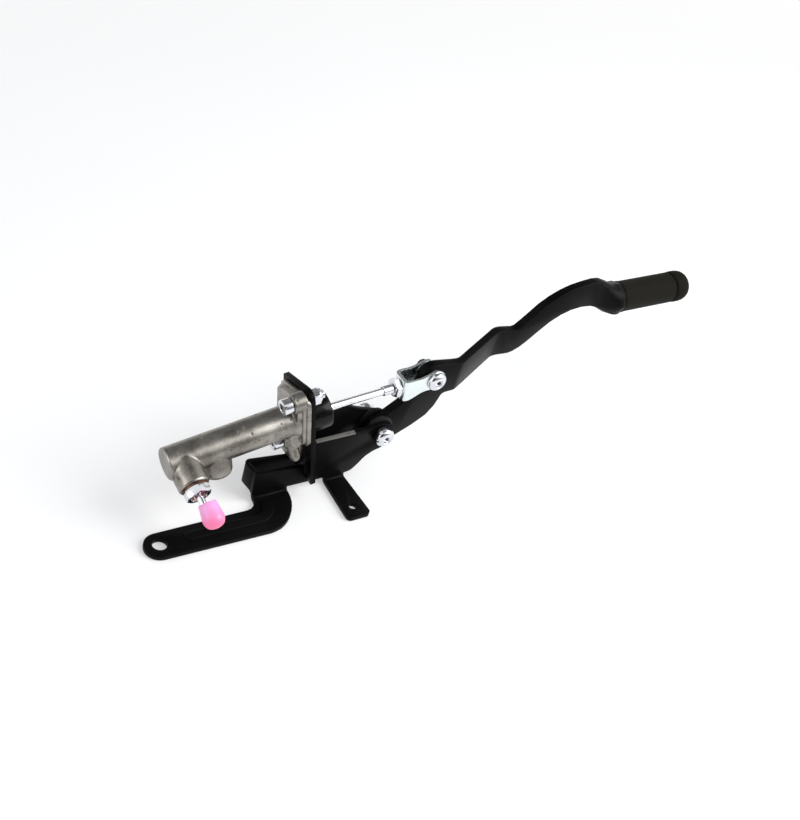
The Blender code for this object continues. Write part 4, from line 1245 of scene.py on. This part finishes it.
@dataclass
class Outlet:
    """Copper seal, hexagon fitting, pipe stub and the pink cap."""

    start: float = 26.1
    seal_t: float = 1.0
    across: float = 19.0
    hex_t: float = 7.0
    recess: float = 2.8
    pipe_r: float = 2.9
    tip: float = 48.4
    cap_shift: float = 2.8
    cap_dip: float = 30.0

    def cap_axis(self) -> Axis:
        """Lay the cap's own axis, which hangs lower than the stub.

        Returns:
            The axis, zero at the cap's mouth.
        """
        body = MasterCylinder()
        mouth = dipping_axis(body.outlet_at + self.cap_shift, body.outlet_dip).moved(self.tip - 7.0)
        return Axis(mouth.origin, dipping_axis(0.0, self.cap_dip).way, mouth.top)

    def fitting(self, axis: Axis) -> bpy.types.Object:
        """Turn the hexagon fitting with its recess and cut its flats.

        Args:
            axis: its axis, zero at its seat.

        Returns:
            The fitting.
        """
        flat, corner, top = self.across / 2 * 0.96, self.across / math.sqrt(3.0), self.hex_t
        floor, hole = top - self.recess, self.pipe_r + GAP
        item = Bench.turned("pipe_fitting", axis, [
            (2.0, -12.0), (4.1, -12.0), (4.7, -11.2), (4.7, 0.0), (flat, 0.0), (corner + 0.2, 1.0),
            (corner + 0.2, top - 1.0), (flat, top), (6.9, top), (6.5, top - 0.35), (6.2, floor),
            (hole, floor), (hole, 1.0), (2.0, 0.6)], 72)
        Bench.carve(item, Cut.SHARED, Bench.hexagon("fitting_flats", axis, self.across, -14.0, 9.0))
        return Bench.smooth(Bench.rounded(item, 0.15))

    def build(self, shelf: Shelf) -> None:
        """Make the pieces from the boss outwards.

        Args:
            shelf: the finished materials.
        """
        axis = MasterCylinder().outlet()
        t = self.seal_t
        washer = Bench.turned("copper_seal", axis.moved(self.start), [
            (5.0, 0.0), (9.95, 0.0), (10.2, 0.25), (10.2, t - 0.25), (9.95, t), (5.0, t)])
        shelf.hand_over(washer, Body.BRACKET, Slot.COPPER, "outlet_washer")
        base = self.start + t + GAP
        shelf.hand_over(self.fitting(axis.moved(base)), Body.BRACKET, Slot.ZINC, "outlet_fitting")
        floor = base + self.hex_t - self.recess
        ring = Bench.turned("recess_seal", axis.moved(floor + 0.05), [
            (3.3, 0.0), (6.05, 0.0), (6.1, 0.9), (5.6, 1.3), (4.0, 1.3), (3.3, 0.8)], 56)
        shelf.hand_over(ring, Body.BRACKET, Slot.COPPER)
        r = self.pipe_r
        pipe = Bench.turned("pipe_stub", axis, [
            (1.6, base + 1.6), (r, base + 1.6), (r, self.tip - 0.7), (r - 0.2, self.tip - 0.2),
            (r - 0.6, self.tip), (1.9, self.tip), (1.6, self.tip - 0.3)], 40)
        shelf.hand_over(pipe, Body.BRACKET, Slot.POLISHED, "outlet_pipe")
        cap = Bench.turned("dust_cap", self.cap_axis(), [
            (0.0, 8.4), (6.4, 8.4), (6.4, 0.3), (6.6, 0.0), (7.0, 0.0), (7.25, 0.2), (7.4, 0.7), (7.9, 5.0),
            (8.4, 8.9), (8.75, 11.2), (8.9, 12.7), (8.8, 14.1), (8.45, 15.5), (7.9, 16.8), (7.1, 18.0),
            (6.1, 19.0), (4.9, 19.75), (3.4, 20.3), (1.8, 20.65), (0.0, 20.78)])
        shelf.hand_over(cap, Body.CAP, Slot.PINK, "outlet_cap")


@dataclass
class ReturnSpring:
    """Steel coil that the piston squeezes against the bore's end."""

    stroke: float = 17.5
    spare: float = 0.2

    def build(self, shelf: Shelf) -> None:
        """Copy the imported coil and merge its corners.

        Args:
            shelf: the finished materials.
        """
        packed = FRAME["nodes"]["return_spring"].data
        coil = Bench.merged(bpy.data.objects.new("coil_spring", packed.copy()), MERGE)
        shelf.hand_over(Bench.smooth(coil, 40.0), Body.BRACKET, Slot.STEEL, "return_spring")
        axis = cylinder_axis()
        start = to_row(axis.origin)
        along = [axis.way.dot(corner.co - start) for corner in coil.data.vertices]
        length = max(along) - min(along)
        tuple(start + axis.way * min(along))
        1.0 - (self.stroke + self.spare) * MM / length
        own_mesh(coil)


@dataclass
class Mouth:
    """Rubber boot on the cylinder's nose."""

    rim: float = 16.6

    def build(self, shelf: Shelf) -> None:
        """Make the boot with its moulded rim.

        Args:
            shelf: the finished materials.
        """
        r = self.rim
        boot = Bench.turned("rod_boot", cylinder_axis(), [
            (12.3, 4.6), (r - 0.9, 4.6), (r - 0.5, 5.0), (r, 13.6), (r, 20.2),
            (r - 0.2, 21.1), (r - 0.7, 21.8), (r - 1.6, 22.2), (8.7, 22.2), (8.1, 22.0), (7.8, 21.5),
            (7.8, 20.3), (8.1, 19.8), (8.7, 19.5), (11.6, 19.1), (12.1, 18.7), (12.3, 18.0)], 72)
        shelf.hand_over(boot, Body.BRACKET, Slot.RUBBER, "dust_boot")


@dataclass
class Linkage:
    """Pushrod, its adapter and lock nut, the folded clevis and its pin."""

    rod_r: float = 3.3
    ball_r: float = 4.0
    ear_out: float = 9.0
    ear_t: float = 2.2
    plating: Plating = Plating("clear_zinc", (0.80, 0.87, 0.865), (0.84, 0.89, 0.89), (0.24, 0.30))

    def rod(self) -> bpy.types.Object:
        """Turn the polished rod with its ball end.

        Returns:
            The rod.
        """
        axis = rod_axis()
        ball = (BALL - CLEVIS_BASE).dot(axis.way)
        arc = [(self.ball_r * math.sin(a), ball - self.ball_r * math.cos(a))
               for a in map(math.radians, range(0, 120, 12))]
        return Bench.turned("polished_rod", axis, arc + [
            (self.rod_r, ball + 2.9), (self.rod_r, 7.7), (2.8, 8.6), (0.0, 8.6)], 56)

    def build(self, shelf: Shelf) -> None:
        """Make the pushrod's pieces.

        Args:
            shelf: the finished materials.
        """
        shelf.hand_over(self.rod(), Body.PUSHROD, Slot.POLISHED, "pushrod")
        axis, inner = rod_axis(), self.rod_r + GAP
        sleeve = FlutedSleeve(4.8, inner).make("fluted_adapter", axis.moved(-16.0), 9.7)
        shelf.hand_over(sleeve, Body.PUSHROD, Slot.ZINC, "rod_adapter")
        nut = HexNut(15.0, 5.0, inner)
        shelf.hand_over(nut.make("jam_nut", axis.moved(-5.9)), Body.PUSHROD, Slot.ZINC, "lock_nut")
        clevis = Bench.traced("folded_clevis", "clevis")
        Bench.smooth(Bench.rounded(clevis, 0.35, 2, 40.0), 34.0)
        shelf.hand_over(clevis, Body.PUSHROD, Slot.ZINC, "clevis")
        clevis.data.materials[0] = self.plating.build()
        out, gap_half = self.ear_out, self.ear_out - self.ear_t
        screw = SocketScrew(8.75, 5.4, 5.0, 2 * out + 7.6, domed=True, thread_from=out + gap_half,
                            thread_r=3.0)
        seat = cross_axis(-out - GAP, PIN, away=False)
        shelf.hand_over(screw.make("clevis_button_screw", seat), Body.PUSHROD, Slot.ZINC, "clevis_pin")
        nut = HexNut(10.4, 6.0, 3.0 + GAP, 1.6)
        shelf.hand_over(nut.make("clevis_locking_nut", cross_axis(out + GAP, PIN)), Body.PUSHROD,
                        Slot.DARK, "clevis_nut")
        thick = gap_half - LEVER_HALF - 2 * GAP
        for name, y in (("near", -gap_half + GAP), ("far", LEVER_HALF + GAP)):
            ring = flat_ring("clevis_ring_" + name, cross_axis(y, PIN), 5.0 + GAP, 8.2, thick)
            shelf.hand_over(ring, Body.PUSHROD, Slot.ZINC, "clevis_spacer_" + name)


@dataclass
class LeverArm:
    """The stepped lever with its pivot hardware."""

    spacer_r: float = 13.6
    bolt_r: float = 5.0
    head_r: float = 8.75
    washer_t: float = 3.8

    def build(self, shelf: Shelf) -> None:
        """Make the lever and what it turns on.

        Args:
            shelf: the finished materials.
        """
        arm = Bench.traced("stepped_lever", "lever_arm", flat=0.05)
        shelf.hand_over(Bench.smooth(arm, 42.0), Body.LEVER, Slot.BLACK, "lever_arm")
        head_y = -CHEEK_OUT - 2 * GAP - self.washer_t
        hole = self.bolt_r + GAP
        washer = flat_ring("pivot_collar", cross_axis(head_y + GAP), hole, self.head_r - 0.4, self.washer_t)
        shelf.hand_over(washer, Body.BRACKET, Slot.DARK, "pivot_washer")
        screw = SocketScrew(self.head_r, 5.6, self.bolt_r, CHEEK_OUT - head_y + 12.5, domed=True,
                            thread_from=26.6)
        seat = cross_axis(head_y, away=False)
        shelf.hand_over(screw.make("pivot_button_screw", seat), Body.BRACKET, Slot.ZINC, "pivot_bolt")
        nut = HexNut(17.0, 10.0, hole, 2.6)
        shelf.hand_over(nut.make("pivot_locking_nut", cross_axis(CHEEK_OUT + GAP)), Body.BRACKET,
                        Slot.ZINC, "pivot_nut")
        inner = CHEEK_OUT - SHEET
        for name, y in (("near", -inner + GAP), ("far", LEVER_HALF + GAP)):
            ring = flat_ring("nylon_spacer_" + name, cross_axis(y), hole, self.spacer_r,
                             inner - LEVER_HALF - 2 * GAP)
            shelf.hand_over(ring, Body.BRACKET, Slot.NYLON, "pivot_spacer_" + name)


@dataclass
class Grip:
    """Rubber sleeve and its rounded end piece."""

    radius: float = 14.6
    start: float = 271.6
    end: float = 340.0

    def build(self, shelf: Shelf) -> None:
        """Make both rubber pieces.

        Args:
            shelf: the finished materials.
        """
        axis = Axis(GRIP_AXIS.copy(), Vector((1.0, 0.0, 0.0)))
        r, a, b = self.radius, self.start, self.end
        sleeve = Bench.turned("hand_sleeve", axis, [
            (7.3, a), (13.9, a), (14.7, a + 0.35), (15.0, a + 1.0), (15.0, a + 3.2), (14.9, a + 3.7),
            (r, a + 4.2), (r, b - 2.4), (r - 0.25, b - 1.4), (r - 0.75, b - 0.5), (13.0, b), (7.3, b)], 72)
        shelf.hand_over(sleeve, Body.LEVER, Slot.GRIP, "grip_sleeve")
        knob = Bench.turned("sleeve_end", axis, [
            (0.0, 351.3), (7.3, 351.3), (7.3, b + GAP), (13.0, b + GAP), (13.8, b + 0.6), (14.4, b + 1.4),
            (14.8, b + 2.8), (15.0, b + 5.0), (15.0, b + 9.0), (14.75, b + 12.0), (14.1, b + 14.6),
            (13.0, b + 16.7), (11.3, b + 18.4), (9.0, b + 19.5), (6.0, b + 20.1), (3.0, b + 20.35),
            (0.0, b + 20.4)], 72)
        shelf.hand_over(knob, Body.LEVER, Slot.GRIP, "grip_end")


# Stage.
@dataclass(frozen=True)
class Card:
    """Matt plane that stands in the studio; lengths in metres."""

    name: str
    size: float
    place: Triple
    tone: float
    target: Triple = (0.0, 0.0, 0.05)

    def stand(self) -> bpy.types.Object:
        """Add the plane, facing its target.

        Returns:
            The plane.
        """
        turn = (Vector(self.target) - Vector(self.place)).to_track_quat("Z", "Y").to_euler()
        Bench.clear()
        bpy.ops.mesh.primitive_plane_add(size=self.size, location=self.place, rotation=turn)
        item = bpy.context.active_object
        item.name = self.name
        g = Graph.material(self.name)
        tones = rgba((self.tone,) * 3), rgba((self.tone * 1.03,) * 3)
        g.dress(Base_Color=g.mix(g.noise(scale=3.0, detail=2.0), *tones), Roughness=0.9,
                Specular_IOR_Level=0.05)
        item.data.materials.append(g.owner)
        return item


@dataclass(frozen=True)
class Lamp:
    """Square soft lamp that looks at a target; lengths in metres, power in watts."""

    name: str
    place: Triple
    size: float
    power: float
    shines: bool = True
    target: Triple = (0.0, 0.0, 0.05)

    def stand(self) -> None:
        """Add the lamp; one that doesn't shine is left out of reflections."""
        data = bpy.data.lights.new(self.name, "AREA")
        data.shape = "SQUARE"
        data.size = self.size
        data.energy = self.power
        item = bpy.data.objects.new(self.name, data)
        item.location = self.place
        way = Vector(self.target) - Vector(self.place)
        item.rotation_euler = way.to_track_quat("-Z", "Y").to_euler()
        item.visible_glossy = self.shines
        bpy.context.scene.collection.objects.link(item)


@dataclass
class Studio:
    """Floor, cards, world, lamps and the camera; lengths in metres."""

    ground: Card = Card("studio_floor", 9.0, (0.1, 0.0, -0.0006), 0.90, (0.1, 0.0, 1.0))
    glow: float = 0.38
    fade: float = 1.1
    cards: tuple[Card, ...] = (
        Card("card_far", 2.2, (0.60, 1.20, 1.35), 0.22),
        Card("card_above", 1.5, (0.0, 0.15, 1.95), 0.16),
        Card("card_near", 1.9, (0.60, -1.70, 0.22), 0.22),
        Card("card_camera", 1.5, (-0.95, -1.30, 0.80), 0.02))
    sky: Triple = (0.95, 0.97, 1.0)
    sky_light: float = 0.62
    lamps: tuple[Lamp, ...] = (
        Lamp("softbox", (1.10, -0.95, 1.20), 1.4, 36.0),
        Lamp("key", (0.75, -0.35, 1.55), 0.5, 3.0, False),
        Lamp("side", (-1.35, 0.10, 0.45), 0.5, 3.0))
    lens: float = 57.07
    sensor: float = 36.0
    eye: Triple = (-0.536, -0.6031, 0.7433)
    right: Triple = (0.821, -0.519, 0.236)
    forward: Triple = (0.539, 0.571, -0.62)

    def build(self) -> None:
        """Make the stage."""
        self.floor()
        for card in self.cards:
            item = card.stand()
            item.visible_camera = item.visible_diffuse = False
            item.visible_shadow = item.visible_transmission = False
        self.world()
        for lamp in self.lamps:
            lamp.stand()
        self.camera()

    def floor(self) -> None:
        """Lay a pale floor that keeps the object's shadow and turns plain white further off."""
        g = Graph(self.ground.stand().active_material)
        white = g.node("ShaderNodeEmission", {}, {"Color": rgba((1.0, 1.0, 1.0)), "Strength": 1.0})
        lit = g.tree.nodes["Principled BSDF"].outputs[0]
        length = g.node("ShaderNodeVectorMath", {"operation": "LENGTH"}, {0: g.place()})
        far = Signal(g, length.outputs["Value"]).above(self.fade, self.fade * 0.6)
        share = g.seen() * (far * (1.0 - self.glow) + self.glow)
        mixed = g.node("ShaderNodeMixShader", {}, {0: share, 1: lit, 2: white.outputs[0]})
        g.feed(g.tree.nodes["Material Output"].inputs["Surface"], mixed.outputs[0])

    def world(self) -> None:
        """Make the world white to what looks at it and a soft light for everything else."""
        g = Graph(bpy.data.worlds.new("studio"))
        g.tree.nodes.clear()
        light = g.node("ShaderNodeBackground", {}, {"Color": rgba(self.sky), "Strength": self.sky_light})
        seen = g.node("ShaderNodeBackground", {}, {"Color": rgba((1.0, 1.0, 1.0)), "Strength": 1.0})
        mixed = g.node("ShaderNodeMixShader", {}, {0: g.seen(), 1: light.outputs[0], 2: seen.outputs[0]})
        g.node("ShaderNodeOutputWorld", {}, {"Surface": mixed.outputs[0]})
        bpy.context.scene.world = g.owner

    def camera(self) -> None:
        """Set the camera at the photo's place."""
        data = bpy.data.cameras.new("photo_view")
        data.lens = self.lens
        data.sensor_width = self.sensor
        data.clip_start = 0.01
        item = bpy.data.objects.new("photo_view", data)
        forward, right = Vector(self.forward).normalized(), Vector(self.right)
        right = (right - forward * right.dot(forward)).normalized()
        turn = Matrix((right, right.cross(forward), -forward)).transposed().to_4x4()
        item.matrix_world = Matrix.Translation(self.eye) @ turn
        bpy.context.scene.collection.objects.link(item)
        bpy.context.scene.camera = item


def finishes() -> dict[Slot, Finish]:
    """Choose the finish of every material slot.

    Returns:
        The finishes by slot.
    """
    return {
        Slot.BLACK: PowderCoat("powder_coat_black"),
        Slot.CAST: CastAluminium("cast_aluminium"),
        Slot.ZINC: Plating("bright_zinc", (0.68, 0.70, 0.74), (0.82, 0.83, 0.85), (0.10, 0.24)),
        Slot.POLISHED: Plating("polished_steel", (0.78, 0.79, 0.82), (0.86, 0.86, 0.88), (0.07, 0.18),
                               mark=0.06),
        Slot.STEEL: Plating("plain_steel", (0.36, 0.37, 0.38), (0.46, 0.46, 0.46), (0.26, 0.42)),
        Slot.ALLOY: Plating("machined_alloy", (0.58, 0.58, 0.59), (0.66, 0.66, 0.66), (0.24, 0.38)),
        Slot.COPPER: Plating("copper_washer", (0.24, 0.10, 0.06), (0.34, 0.17, 0.11), (0.26, 0.40)),
        Slot.BRONZE: Plating("bronze_bush", (0.52, 0.35, 0.15), (0.62, 0.44, 0.22), (0.30, 0.44)),
        Slot.DARK: Plating("dark_zinc", (0.07, 0.07, 0.08), (0.12, 0.12, 0.13), (0.28, 0.42)),
        Slot.RUBBER: Rubber("black_rubber", (0.002, 0.002, 0.002), (0.005, 0.005, 0.005), (0.14, 0.24),
                            grain=700.0, depth=0.08, gloss=0.16),
        Slot.NYLON: Rubber("black_nylon", (0.006, 0.006, 0.007), (0.011, 0.012, 0.013), (0.38, 0.52),
                           gloss=0.2),
        Slot.GRIP: Rubber("grip_rubber", (0.0050, 0.0046, 0.0028), (0.0110, 0.0104, 0.0068), (0.60, 0.80),
                          gloss=0.06),
        Slot.PINK: CapPlastic("pink_cap", Outlet().cap_axis()),
    }


def main() -> None:
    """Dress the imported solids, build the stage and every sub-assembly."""
    bpy.context.scene.view_settings.view_transform = "Standard"
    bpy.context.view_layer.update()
    shelf = Shelf(finishes())
    for row in FRAME["record"]["subparts"]:
        shelf.dress_node(row["node"], Slot(row["material_slot"]))
    Studio().build()
    for part in (Bracket(), MasterCylinder(), Outlet(), ReturnSpring(), Mouth(), Linkage(), LeverArm(),
                 Grip()):
        part.build(shelf)
        LOG.info("%s done", type(part).__name__)


if __name__ == "__main__":
    logging.basicConfig(level=logging.INFO)
    main()
